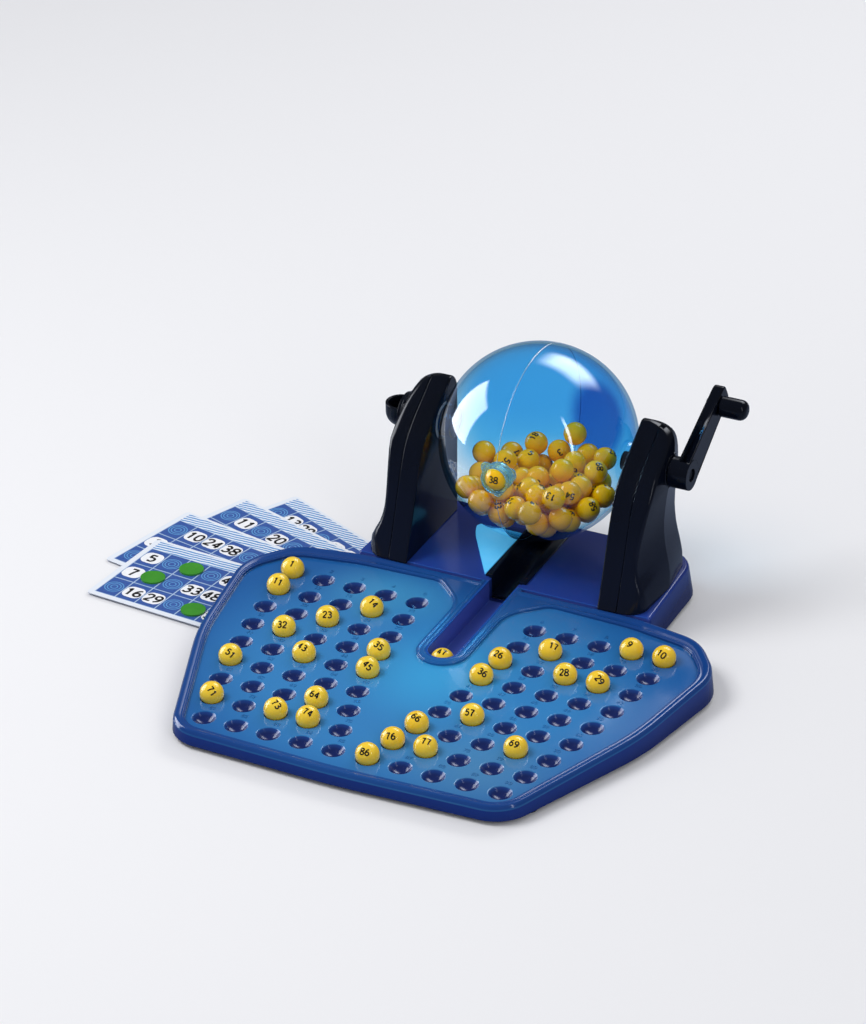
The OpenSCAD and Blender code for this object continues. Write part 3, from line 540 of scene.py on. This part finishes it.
SIDES = (-1, 1)
NUMBER_BACK, NUMBER_HEIGHT, NUMBER_BOLD, NUMBER_RISE, NUMBER_ROOT = 11.3, 3.0, 0.6, 0.3, -0.05


def raised(flat, faces, rise):
    """Flat ribbons with a top at rise and side walls down into the panel."""
    n = len(flat)
    low = np.column_stack([flat, np.full(n, NUMBER_ROOT)])
    high = np.column_stack([flat, np.full(n, rise)])
    edges = np.vstack([faces[:, [0, 1]], faces[:, [1, 2]], faces[:, [2, 3]], faces[:, [3, 0]]])
    key = np.sort(edges, axis=1)
    _, index, count = np.unique(key, axis=0, return_index=True, return_counts=True)
    rim = edges[index[count == 1]]
    walls = np.column_stack([rim[:, 1], rim[:, 0], rim[:, 0] + n, rim[:, 1] + n])
    return np.vstack([low, high]), np.vstack([faces[:, ::-1], faces + n, walls[:, ::-1]])


def tray_numbers():
    parts = []
    for side in SIDES:
        for row in range(CUP_ROWS):
            for col in range(CUP_COLS):
                flat, faces = figure_ribbons(seat_number(side, row, col), NUMBER_HEIGHT, NUMBER_BOLD)
                centre = cup_places(side, row, col) + [0, NUMBER_BACK, 0]
                parts.append(raised(flat + centre[:2], faces, NUMBER_RISE))
    points, faces = gather(parts)
    make_piece("tray_numbers", deck(points), faces, "machine", tray_blue)


tray_numbers()
rim_beads()


# Base: the deep indigo moulding behind the tray. It carries the towers and
# the chute, and its ball channel shows through the slot in the tray.
CHANNEL_BACK = 40.5


def base_plastic():
    """Painted light and shade: the plate is painted paler to the front, the flanks are painted darker
    downwards, and the channel in front of CHANNEL_BACK is painted paler against its shade, with a painted
    highlight on its lip."""
    finish = Finish("base_indigo_plastic")
    _, y, z = finish.deck_place()
    in_front = y.within(CHANNEL_BACK, CHANNEL_BACK - 1.5)
    # Painted light and shade: a paler plate to the front, darker flanks downwards, a paler channel and a
    # painted highlight on its lip.
    plate = finish.blend(y.within(45.0, 110.0), rgb(36, 64, 148), rgb(30, 50, 128))
    channel = finish.blend(y.within(-50.0, 40.0), rgb(76, 96, 184), rgb(66, 86, 174))
    flank_painted_shade = finish.blend(z.within(0.0, -14.0), rgb(36, 60, 132), rgb(22, 34, 92))
    shade = finish.blend(z.within(1.4, 0.6), plate, flank_painted_shade)
    shade = finish.blend(in_front, shade, channel)
    shade = finish.blend(in_front * z.within(1.0, 1.8), shade, rgb(24, 78, 164))
    finish.moulded(0.2)
    finish.set({"Base Color": shade, "Specular IOR Level": 0.3, "IOR": 1.5})
    finish.set({"Coat Weight": 0.08, "Coat Roughness": 0.06})
    return finish


mouldings(base_plastic(), "base", edge=0.5)


# Feet: soft black rubber pads, punched from sheet and glued in the moulded
# bosses under the tray and the base.
def rubber():
    finish = Finish("foot_rubber")
    grain = finish.speckle(1400.0, 3.0)
    finish.set({"Base Color": finish.blend(grain, rgb(26, 26, 28), rgb(40, 40, 43))})
    finish.set({"Roughness": grain * 0.2 + 0.6})
    finish.set({"Normal": finish.relief(grain, 0.3, 0.1 * MM), "Specular IOR Level": 0.3})
    return finish


rubber().dress("feet")


# Screws and the grip pin: turned steel with rolled threads. All are plated
# with zinc but the crank's own screw, which is blackened and sunk in the hub.
def screw_steel(name, scale, detail, dark, light, spread, smoothest):
    finish = Finish(name)
    grain = finish.speckle(scale, detail)
    finish.set({"Base Color": finish.blend(grain, dark, light), "Metallic": 1.0})
    finish.set({"Roughness": grain * spread + smoothest, "Normal": finish.relief(grain, 0.1, 0.05 * MM)})
    return finish


plated_steel = screw_steel("plated_steel", 700.0, 4.0, rgb(172, 174, 178), rgb(206, 207, 210), 0.12, 0.24)
plated_steel.dress("base_screws", "tower_screws", "grip_pin")
black_oxide = screw_steel("black_oxide_steel", 800.0, 3.0, rgb(30, 30, 34), rgb(52, 52, 56), 0.15, 0.35)
black_oxide.dress("crank_screw")


# Towers, chute, feed cup, axle, crank and grip: one batch of glossy black styrene, with a painted reflection
# of the base's navy lower down.
def black_styrene():
    finish = Finish("black_styrene")
    _, _, z = finish.deck_place()
    wear = finish.moulded(0.17, 0.07, 0.05)
    # Painted reflection: the base's navy is painted in lower down, mixed with random wear.
    glow = z.within(100.0, 15.0) * 0.6 + wear * 0.4
    finish.set({"Base Color": finish.blend(glow, rgb(6, 9, 16), rgb(14, 22, 42))})
    finish.set({"Specular IOR Level": 0.24, "Coat Weight": 0.04, "Coat Roughness": 0.04, "IOR": 1.5})
    return finish


black = black_styrene()
mouldings(black, "left_tower_inner", "left_tower_outer", edge=0.8, crisp=24.0)
mouldings(black, "right_tower_inner", "right_tower_outer", edge=0.8, crisp=24.0)
mouldings(black, "feed_cup", "chute", edge=0.3, crisp=24.0)
mouldings(black, "crank_arm", body="globe", edge=0.4)
mouldings(black, "grip", body="grip", edge=0.0)
black.dress("right_axle")


# Bushes: grey acetal rings, turned and pressed into the towers, in which the
# globe's axles run dry.
def acetal():
    finish = Finish("bush_acetal")
    turned = finish.speckle(420.0, 3.0)
    finish.set({"Base Color": finish.blend(turned, rgb(150, 153, 160), rgb(176, 178, 184))})
    finish.set({"Roughness": turned * 0.15 + 0.35})
    finish.set({"Normal": finish.relief(turned, 0.12, 0.05 * MM)})
    return finish


acetal().dress("left_bush", "right_bush")

# Globe: two clear polystyrene cups welded on the centre plane. The melt was tinted unevenly: the back is sky
# blue, the front and the underside are clear. Towards the crank the back is deepened by a painted shade
# patch.
AXIS_Y, AXIS_Z, GLOBE_R, PORT_ANGLE = 95.1, 77.0, 63.7, math.radians(5.0)
STYRENE_IOR, SHEEN, SHEEN_MOST = 1.5, 2.2, 0.75
LAMP_TINT, RIM_TINT = 0.15, 0.9
WELD_PLANE = 0.002 * MM


def clear_plastic(name, tint, rough=0.02, ripples=0.0, through=1.0):
    """Clear plastic that lets the lamps through, so what it holds stays lit."""
    finish = Finish(name)
    scuffs = finish.speckle(60.0, 4.0)
    finish.set({"Base Color": finish.blend(scuffs * 0.2, tint, rgb(255, 255, 255))})
    finish.set({"Transmission Weight": through, "IOR": 1.46})
    finish.set({"Roughness": scuffs.within(0.45, 0.75) * 0.03 + rough})
    if ripples:
        finish.set({"Normal": finish.relief(finish.speckle(330.0, 1.5), ripples, 0.8 * MM)})
    lamp = finish.node("LightPath", output="Is Shadow Ray")
    film = finish.node("BsdfTransparent", inputs={"Color": (0.93, 0.97, 1.0, 1.0)})
    body = Wire(finish, finish.shader.outputs[0])
    finish.surface(finish.mixed(lamp * through, body, film))
    return finish


def globe_plastic():
    """A thin clear wall: light goes straight through its tint, and the outer
    face mirrors by Fresnel's law."""
    finish = Finish("globe_clear_blue")
    x, y, z = finish.deck_place()
    y, z = y - AXIS_Y, z - AXIS_Z
    scuffs = finish.speckle(60.0, 4.0)
    finish.set({"Base Color": finish.blend(scuffs * 0.3, rgb(232, 240, 246), rgb(255, 255, 255))})
    finish.set({"Metallic": 1.0, "Roughness": scuffs.within(0.45, 0.75) * 0.04 + 0.03})
    clear, blue, rim, deep = (
        finish.node("BsdfTransparent", inputs={"Color": (*colour, 1.0)})
        for colour in ((0.95, 0.985, 1.0), (0.29, 0.7, 0.94), (0.42, 0.74, 0.88), (0.1, 0.36, 0.72))
    )
    lamp = finish.node("LightPath", output="Is Shadow Ray")
    seen = 1.0 - lamp
    back = y.within(-16.0, 30.0) * z.within(-54.0, -24.0)
    tint = back.over(z.within(24.0, 50.0) * 0.35)
    film = finish.mixed(tint * (1.0 - lamp * (1.0 - LAMP_TINT)), clear, blue)
    # Painted shade: a deeper blue patch on the back wall towards the crank.
    painted_shade_patch = finish.soft_spot(x, z, (15.0, -10.0), (31.0, 42.0)).within(0.05, 0.6)
    film = finish.mixed(painted_shade_patch * y.within(20.0, 40.0) * seen, film, deep)
    slant = finish.node("LayerWeight", inputs={"Blend": 0.5}, output="Facing")
    film = finish.mixed(slant.within(0.55, 1.0) * seen * RIM_TINT, film, rim)
    outer = (x * x + y * y + z * z).root().within(GLOBE_R - 1.2, GLOBE_R - 0.8)
    facing = 1.0 - finish.node("NewGeometry", output="Backfacing")
    sheen = finish.node("Fresnel", inputs={"IOR": STYRENE_IOR}) * SHEEN
    gloss = Wire(finish, finish.shader.outputs[0])
    finish.surface(finish.mixed((sheen * outer * facing).under(SHEEN_MOST), film, gloss))
    return finish


def globe_shell():
    """Both halves as one welded shell: the faces where they meet are taken out
    and the edges joined."""
    work = bmesh.new()
    for half in ("globe_left_half", "globe_right_half"):
        work.from_mesh(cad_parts[half].data)
    bmesh.ops.remove_doubles(work, verts=work.verts, dist=MERGE_GAP)
    weld = [face for face in work.faces if all(abs(v.co.x) < WELD_PLANE for v in face.verts)]
    bmesh.ops.delete(work, geom=weld, context="FACES")
    merged(work, 32.0)
    mesh = bpy.data.meshes.new("globe_shell")
    work.to_mesh(mesh)
    work.free()
    piece = add_piece("globe_shell", mesh, globe_plastic(), "globe")
    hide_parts("globe_left_half", "globe_right_half")


def weld_bead(radius, half_wide, high, start, end, steps=220, across=9):
    """The weld's bead: a half-ellipse carried round the axle at this radius,
    from one side of the port to the other. Angles are in degrees."""
    turn = PORT_ANGLE + np.radians(np.linspace(start, end, steps))[:, None]
    side = np.linspace(0, np.pi, across)[None, :]
    far = radius + high * np.sin(side)
    x = half_wide * np.cos(side) + 0 * turn
    points = np.stack([x, AXIS_Y - far * np.cos(turn), AXIS_Z + far * np.sin(turn)], axis=-1)
    i, j = np.arange(steps - 1)[:, None] * across, np.arange(across - 1)[None, :]
    faces = np.stack([i + j, i + j + 1, i + j + across + 1, i + j + across], axis=-1)
    return points.reshape(-1, 3), faces.reshape(-1, 4)


globe_shell()
bead_clear = clear_plastic("weld_clear", rgb(120, 196, 232), 0.45, 0.0, 0.9)
bead_points, bead_faces = weld_bead(GLOBE_R - 0.05, half_wide=0.22, high=0.12, start=10.0, end=346.0)
make_piece("weld_bead", deck(bead_points), bead_faces, "globe", bead_clear, smooth=True)

# Port, hollow axle and deflector: small clear mouldings in cyan and blue,
# glued in the globe or clipped to the base.
port_cyan = clear_plastic("port_clear_cyan", rgb(160, 228, 250), 0.05, ripples=0.9, through=0.85)
mouldings(port_cyan, "port_tube", body="globe", edge=0.0, crisp=40.0)
clear_plastic("axle_clear_blue", rgb(96, 172, 220), 0.08).dress("left_axle")
deflector_cyan = clear_plastic("deflector_cyan", rgb(70, 196, 250), 0.3, through=0.08)
# A painted glow: a little emission keeps it bright in the globe's shade.
deflector_cyan.set({"Emission Color": rgb(60, 168, 226), "Emission Strength": 0.45})
deflector_cyan.set({"Specular IOR Level": 0.2})
mouldings(deflector_cyan, "ball_deflector", edge=0.25)


# Balls: hollow yellow polystyrene, blown in one piece and polished, each with
# a black pad-printed number.
def ball_plastic(name, light, deep):
    finish = Finish(name)
    tone = finish.speckle(26.0, 2.0)
    finish.moulded(0.24, 0.06, 0.05)
    finish.set({"Base Color": finish.blend(tone.within(0.3, 0.7), light, deep)})
    finish.set({"Subsurface Weight": 0.12, "Subsurface Scale": 0.6})
    finish.set({"Subsurface Radius": (0.004, 0.0025, 0.001)})
    finish.set({"Coat Weight": 0.25, "Coat Roughness": 0.1})
    return finish


ball_yellow = ball_plastic("ball_yellow", rgb(255, 218, 66), rgb(254, 208, 50))
# Painted shade: the balls in the globe and the port are a deeper, shaded copy of the same yellow.
ball_in_globe_painted_shade = ball_plastic("ball_in_globe_painted_shade", rgb(255, 200, 12), rgb(255, 180, 4))
mouldings(ball_yellow, "tray_balls", edge=0.0)
mouldings(ball_yellow, "channel_ball", body="called_ball", edge=0.0)
mouldings(ball_in_globe_painted_shade, "port_ball", body="globe", edge=0.0)
mouldings(ball_in_globe_painted_shade, "globe_balls", edge=0.0)


def printed(name, scale, first, second, rough):
    """A printed colour with a faint unevenness."""
    finish = Finish(name)
    finish.set({"Base Color": finish.blend(finish.speckle(scale), first, second), "Roughness": rough})
    return finish


ink = printed("number_ink", 500.0, rgb(14, 13, 18), rgb(30, 27, 30), 0.3)


def sphere_centres(node, radius):
    """Centres of the balls in a CAD node, in metres: each larger triangle's
    middle, moved back along its normal by the radius, gathered where they agree."""
    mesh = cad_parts[node].data
    count = len(mesh.polygons)
    middle, normal, area = np.empty(count * 3), np.empty(count * 3), np.empty(count)
    mesh.polygons.foreach_get("center", middle)
    mesh.polygons.foreach_get("normal", normal)
    mesh.polygons.foreach_get("area", area)
    guess = (middle.reshape(-1, 3) - normal.reshape(-1, 3) * radius)[area > np.median(area) / 2]
    centres = []
    while len(guess):
        near = np.linalg.norm(guess - guess[0], axis=1) < radius / 2
        centres.append(guess[near].mean(axis=0))
        guess = guess[~near]
    return np.array(centres)


BALL_NUMBER_HEIGHT, BALL_NUMBER_BOLD, INK_RISE, SEATED_RISE = 4.3, 0.85, 0.05, 3.3


def on_ball(flat, centre, facing, turn):
    """Flat points in mm wrapped on a ball: distance from the middle becomes an
    angle, so strokes keep their length."""
    out = facing / np.linalg.norm(facing)
    side = np.cross([0, 1, 0.2], out)
    side /= np.linalg.norm(side)
    up = np.cross(out, side)
    c, s = math.cos(turn), math.sin(turn)
    u, v = flat[:, 0] * c - flat[:, 1] * s, flat[:, 0] * s + flat[:, 1] * c
    far = np.hypot(u, v) + 1e-9
    angle = far / BALL_R
    ring = (u / far)[:, None] * side + (v / far)[:, None] * up
    return centre + (BALL_R + INK_RISE) * MM * (np.cos(angle)[:, None] * out + np.sin(angle)[:, None] * ring)


def ball_numbers(name, centres, numbers, body, facings, turns):
    """The printed numbers of some balls, each facing its own way and turned on its ball."""
    parts = []
    for centre, number, facing, turn in zip(centres, numbers, facings, turns):
        flat, faces = figure_ribbons(number, BALL_NUMBER_HEIGHT, BALL_NUMBER_BOLD)
        parts.append((on_ball(flat, centre, facing, turn), faces))
    points, faces = gather(parts)
    make_piece(name, points, faces, body, ink, smooth=True)


# Cups with a ball in them: side, row and column.
TAKEN = [
    (-1, 0, 4), (-1, 1, 4), (-1, 2, 2), (-1, 1, 1), (-1, 3, 3), (-1, 4, 2), (-1, 3, 0),
    (-1, 4, 0), (-1, 5, 4), (-1, 7, 4), (-1, 6, 1), (-1, 7, 2), (-1, 7, 1),
    (1, 0, 3), (1, 0, 4), (1, 1, 1), (1, 2, 0), (1, 2, 2), (1, 2, 3), (1, 3, 0),
    (1, 5, 1), (1, 6, 0), (1, 6, 3), (1, 7, 1), (1, 7, 0), (1, 8, 0),
]
rng = np.random.default_rng(90)
seated = deck(np.array([cup_places(*cup) for cup in TAKEN]) + [0, 0, SEATED_RISE])
seated_numbers = [seat_number(*cup) for cup in TAKEN]
tilt = rng.uniform(-0.25, 0.25, (len(TAKEN), 2))
facings = np.column_stack([0.3 + tilt[:, 0], -0.66 + tilt[:, 1], np.full(len(TAKEN), 0.8)])
turns = rng.uniform(-0.5, 0.5, len(TAKEN))
ball_numbers("tray_ball_numbers", seated, seated_numbers, "machine", facings, turns)

piled = sphere_centres("globe_balls", BALL_R * MM)
free_numbers = [n for n in range(1, 91) if n not in seated_numbers]
rng.shuffle(free_numbers)
facings = rng.normal(size=(len(piled), 3)) + [0.2, -0.4, 0.6]
turns = rng.uniform(-3.1, 3.1, len(piled))
ball_numbers("globe_ball_numbers", piled, free_numbers[: len(piled)], "machine", facings, turns)
called = sphere_centres("channel_ball", BALL_R * MM)
facings = np.array([[0.1, -0.3, 1.0]])
ball_numbers("channel_ball_number", called, free_numbers[-1:], "called_ball", facings, [0.1])
waiting = sphere_centres("port_ball", BALL_R * MM)
facings = np.array([[0.1, -1.0, 0.3]])
ball_numbers("port_ball_number", waiting, free_numbers[-2:-1], "globe", facings, [0.2])

# Cards: four printed sheets of thin board in a fan, each with three rows of
# nine cells. A cell holds a number on a white tag or a ring where it is blank.
CARD_W, CARD_H, CARD_T = 144.0, 82.0, 0.5
CARD_MARGIN, CARD_HEADER = 4.0, 12.5
CARD_SHARES = [(-1.68, 0.186, -5), (-1.6875, 0.483, -12), (-1.517, 0.719, -20), (-1.319, 0.847, -26)]
CELL_W = (CARD_W - 2 * CARD_MARGIN) / 9
CELL_H = (CARD_H - CARD_MARGIN - CARD_HEADER) / 3


def card_frame(k):
    """Corner of card k on the floor in mm, its turn, and the height of its printed face."""
    x, y, turn = CARD_SHARES[k]
    top = (len(CARD_SHARES) - k) * CARD_T
    return np.array([x * CARD_W, y * CARD_W]), math.radians(turn), top


PRINT_SOFT = 0.3
RING_RADII, RING_HALF_W = (6.1, 4.4, 2.2), 0.32
LINE_OUT, LINE_IN = 0.25, 0.55


def card_print(k):
    """Header strip of waves over a table of blue cells: thin lines between the
    cells, and rings in each, which the tags cover where there is a number."""
    corner, turn, _ = card_frame(k)
    finish = Finish(f"card_{k + 1}_print")
    split = finish.node("SeparateXYZ", inputs={0: finish.place()})
    wx, wy = (Wire(finish, split.socket.node.outputs[i]) * (1 / MM) for i in range(2))
    dx, dy = wx - float(corner[0]), wy - float(corner[1])
    c, s = math.cos(turn), math.sin(turn)
    u, v = dx * c + dy * s, dy * c - dx * s
    column, line = (u - CARD_MARGIN) / CELL_W, (v + (CARD_H - CARD_MARGIN)) / CELL_H
    right, low = CARD_W - CARD_MARGIN, CARD_MARGIN - CARD_H
    field = u.within(CARD_MARGIN - PRINT_SOFT, CARD_MARGIN) * u.within(right + PRINT_SOFT, right)
    field = field * v.within(low - PRINT_SOFT, low)
    table = field * v.within(-CARD_HEADER + PRINT_SOFT, -CARD_HEADER)
    cu = (column - column.sum_up("FLOOR", column) - 0.5) * CELL_W
    cv = (line - line.sum_up("FLOOR", line) - 0.5) * CELL_H
    rings = sum_rings((cu * cu + cv * cv).root(), RING_RADII, RING_HALF_W)
    waves = {"Vector": finish.place(), "Scale": 120.0, "Distortion": 2.0}
    wave = finish.node("TexWave", {"wave_type": "RINGS"}, waves)
    blue = finish.blend(wave * 0.35, rgb(0, 64, 148), rgb(10, 98, 182))
    shade = finish.blend(rings * 0.7, blue, rgb(96, 172, 226))
    grid = abs(cu).within(CELL_W / 2 - LINE_IN, CELL_W / 2 - LINE_OUT)
    grid = grid.over(abs(cv).within(CELL_H / 2 - LINE_IN, CELL_H / 2 - LINE_OUT))
    shade = finish.blend(grid * 0.7, shade, rgb(196, 222, 242))
    header = field * v.within(-2.0, -2.3) * (1.0 - table)
    strip = finish.blend(wave.within(0.3, 0.7), rgb(60, 132, 200), rgb(228, 236, 246))
    paper = rgb(226, 232, 242)
    face = finish.blend(table, finish.blend(header, paper, strip), shade)
    fibre = finish.speckle(900.0, 4.0)
    face = finish.blend(fibre * 0.08, face, rgb(255, 255, 255))
    finish.set({"Base Color": face, "Roughness": fibre * 0.1 + 0.38, "Specular IOR Level": 0.25})
    finish.set({"Coat Weight": 0.05, "Coat Roughness": 0.2})
    finish.set({"Normal": finish.relief(fibre, 0.08, 0.05 * MM)})
    return finish


def sum_rings(far, radii, half):
    """1 on thin circles of these radii, 0 between them."""
    mask = None
    for r in radii:
        ring = abs(far - r).within(half + 0.15, half - 0.1)
        mask = ring if mask is None else mask.over(ring)
    return mask


for k in range(len(CARD_SHARES)):
    card_print(k).dress(f"card_{k + 1}")

# The numbers of each card by rows from the top; 0 is a blank cell.
CARD_ROWS = [
    [[5, 0, 20, 0, 41, 0, 62, 74, 0], [7, 0, 0, 33, 48, 0, 0, 78, 85], [0, 16, 29, 0, 0, 57, 69, 0, 90]],
    [[0, 10, 24, 38, 0, 51, 0, 0, 80], [3, 0, 27, 0, 44, 0, 66, 0, 83], [0, 12, 0, 35, 0, 59, 0, 71, 88]],
    [[0, 11, 0, 20, 0, 53, 61, 0, 82], [2, 0, 25, 0, 47, 0, 0, 76, 89], [8, 0, 0, 36, 0, 58, 64, 0, 87]],
    [[0, 13, 28, 0, 40, 52, 0, 73, 0], [4, 0, 21, 0, 43, 0, 65, 0, 84], [0, 19, 0, 37, 0, 54, 0, 79, 86]],
]
TAG_W, TAG_H, TAG_ROUND, TAG_STEPS = 14.0, 13.6, 5.0, 24
CARD_FIGURE, CARD_BOLD, TAG_LIFT, FIGURE_LIFT = 8.8, 1.7, 0.02, 0.04


def on_card(k, flat, lift):
    """Flat points in mm, from the card's top left corner, laid on its face and lifted off it."""
    corner, turn, top = card_frame(k)
    c, s = math.cos(turn), math.sin(turn)
    x = corner[0] + flat[:, 0] * c - flat[:, 1] * s
    y = corner[1] + flat[:, 0] * s + flat[:, 1] * c
    return np.column_stack([x, y, np.full(len(flat), top + lift)]) * MM


def tag_outline():
    """Rounded rectangle as a fan: a middle point and four quarter circles."""
    turns = np.linspace(0, 2 * np.pi, TAG_STEPS + 1)[:-1]
    arc = np.column_stack([np.cos(turns), np.sin(turns)]) * TAG_ROUND
    shift = np.sign(arc.round(9)) * [TAG_W / 2 - TAG_ROUND, TAG_H / 2 - TAG_ROUND]
    rim = np.vstack([[0, 0], arc + shift])
    i = np.arange(TAG_STEPS)
    return rim, np.column_stack([0 * i, i + 1, (i + 1) % TAG_STEPS + 1])


def card_numbers():
    """White tags with a figure on each, laid a hair above the cards' faces."""
    tags, figures = [], []
    rim, fan = tag_outline()
    for k, rows in enumerate(CARD_ROWS):
        for line, column in zip(*np.nonzero(rows)):
            centre = [CARD_MARGIN + (column + 0.5) * CELL_W, -CARD_HEADER - (line + 0.5) * CELL_H]
            tags.append((on_card(k, rim + centre, TAG_LIFT), fan))
            flat, faces = figure_ribbons(rows[line][column], CARD_FIGURE, CARD_BOLD)
            figures.append((on_card(k, flat + centre, FIGURE_LIFT), faces))
    points, faces = gather(tags)
    tag_white = printed("tag_white_print", 300.0, rgb(236, 238, 244), rgb(248, 249, 252), 0.4)
    make_piece("card_tags", points, faces, "machine", tag_white)
    points, faces = gather(figures)
    make_piece("card_figures", points, faces, "machine", ink)


card_numbers()


# Markers: green discs that let a little light through, stamped from sheet
# plastic and laid on called numbers.
def marker_plastic():
    finish = Finish("marker_green_plastic")
    finish.moulded(0.2)
    wear = finish.speckle(80.0, 2.0)
    finish.set({"Base Color": finish.blend(wear, rgb(58, 150, 44), rgb(80, 172, 56))})
    finish.set({"Transmission Weight": 0.2})
    return finish


marker_plastic().dress("markers")

# Stage: pale floor and soft studio light, camera where the photograph's was.
FLOOR = 3.0
SQUARE = ((-1, -1), (1, -1), (1, 1), (-1, 1))
GLOBE_MIDDLE = np.array([0.0, 0.095, 0.098])


def stage_sheet(name, corners, finish):
    """A flat sheet of the stage through these four corners."""
    mesh = bpy.data.meshes.new(name)
    mesh.from_pydata(corners, [], [(0, 1, 2, 3)])
    mesh.materials.append(finish.material)
    sheet = bpy.data.objects.new(name, mesh)
    bpy.context.scene.collection.objects.link(sheet)
    return sheet


def stage_floor():
    """Pale to the camera; darker to all else, so that flanks and towers stay deep in colour."""
    finish = Finish("floor_pale")
    seen = finish.node("LightPath", output="Is Camera Ray")
    finish.set({"Base Color": finish.blend(seen, (0.2, 0.24, 0.34, 1.0), (0.84, 0.84, 0.86, 1.0))})
    finish.set({"Roughness": 0.7, "Specular IOR Level": 0.2})
    floor = stage_sheet("floor", [(a * FLOOR, b * FLOOR, 0) for a, b in SQUARE], finish)


stage_floor()


def softbox(name, place, aim, size, watts):
    """A lamp that lights but isn't mirrored; the window cards are what gloss shows."""
    light = bpy.data.lights.new(name, "AREA")
    light.shape = "RECTANGLE"
    light.size, light.size_y = size
    light.energy = watts
    lamp = bpy.data.objects.new(name, light)
    lamp.location = place
    lamp.visible_glossy = False
    point_at(lamp, np.asarray(aim, float) - place)
    bpy.context.scene.collection.objects.link(lamp)


def point_at(thing, way):
    thing.rotation_euler = Vector(way).to_track_quat("-Z", "Y").to_euler()


def window_card(name, way, far, size, strength, soft):
    """A pale card that only gloss sees, like a studio window, with edges that
    fade over the share soft of its half size."""
    out = unit(np.asarray(way, float))
    middle = GLOBE_MIDDLE + far * out
    side = unit(np.cross([0, 0, 1], out))
    up = np.cross(out, side)
    half = side * size[0] / 2, up * size[1] / 2
    corners = [tuple(middle + a * half[0] + b * half[1]) for a, b in SQUARE]
    finish = Finish(name + "_glow")
    away = finish.node("VectorMath", {"operation": "SUBTRACT"}, {0: finish.place(), 1: tuple(middle)})
    seen = finish.node("LightPath", output="Is Glossy Ray")
    dot = {"operation": "DOT_PRODUCT"}
    for axis, length in ((side, size[0]), (up, size[1])):
        along = finish.node("VectorMath", dot, {0: away, 1: tuple(axis)}, output="Value")
        seen = seen * (abs(along) / (length / 2)).within(1.0, 1.0 - soft)
    glow = finish.node("Emission", inputs={"Color": (0.9, 0.93, 1.0, 1.0), "Strength": strength})
    finish.surface(finish.mixed(seen, finish.node("BsdfTransparent"), glow))
    card = stage_sheet(name, corners, finish)


softbox("key", np.array([-0.9, -0.5, 1.5]), [0, 0, 0.05], (0.9, 0.7), 15.0)
softbox("fill", np.array([1.3, -1.1, 1.0]), [0, 0, 0.05], (0.8, 0.8), 5.0)
softbox("back", np.array([0.2, 1.5, 1.2]), [0, 0, 0.1], (1.2, 0.5), 8.0)
window_card("left_window", (-0.95, -0.12, 0.26), 1.2, (0.85, 1.1), 7.5, 0.2)
window_card("top_window", (0.1, 0.7, 0.7), 1.6, (1.6, 1.1), 7.0, 0.7)
window_card("right_strip", (0.9, -0.45, 0.55), 1.4, (0.1, 1.2), 9.0, 0.5)

# The room lights the set, and is dull where gloss mirrors it.
DULL_ROOM, BRIGHT_ROOM = 0.12, 0.55
world = bpy.data.worlds.new("studio")
world.use_nodes = True
room = world.node_tree
sky = room.nodes["Background"]
sky.inputs["Color"].default_value = (0.93, 0.94, 0.97, 1.0)
ray = room.nodes.new("ShaderNodeLightPath")
level = room.nodes.new("ShaderNodeMapRange")
level.inputs["To Min"].default_value = BRIGHT_ROOM
level.inputs["To Max"].default_value = DULL_ROOM
room.links.new(ray.outputs["Is Glossy Ray"], level.inputs["Value"])
room.links.new(level.outputs["Result"], sky.inputs["Strength"])
bpy.context.scene.world = world
bpy.context.scene.view_settings.view_transform = "Standard"

camera = bpy.data.objects.new("camera", bpy.data.cameras.new("camera"))
camera.data.sensor_width = 36.0
camera.data.lens = 175.8
camera.data.clip_end = 20.0
camera.location = (1.1736, -2.4588, 1.5570)
point_at(camera, (-0.38713, 0.79111, -0.47358))
bpy.context.scene.collection.objects.link(camera)
bpy.context.scene.camera = camera
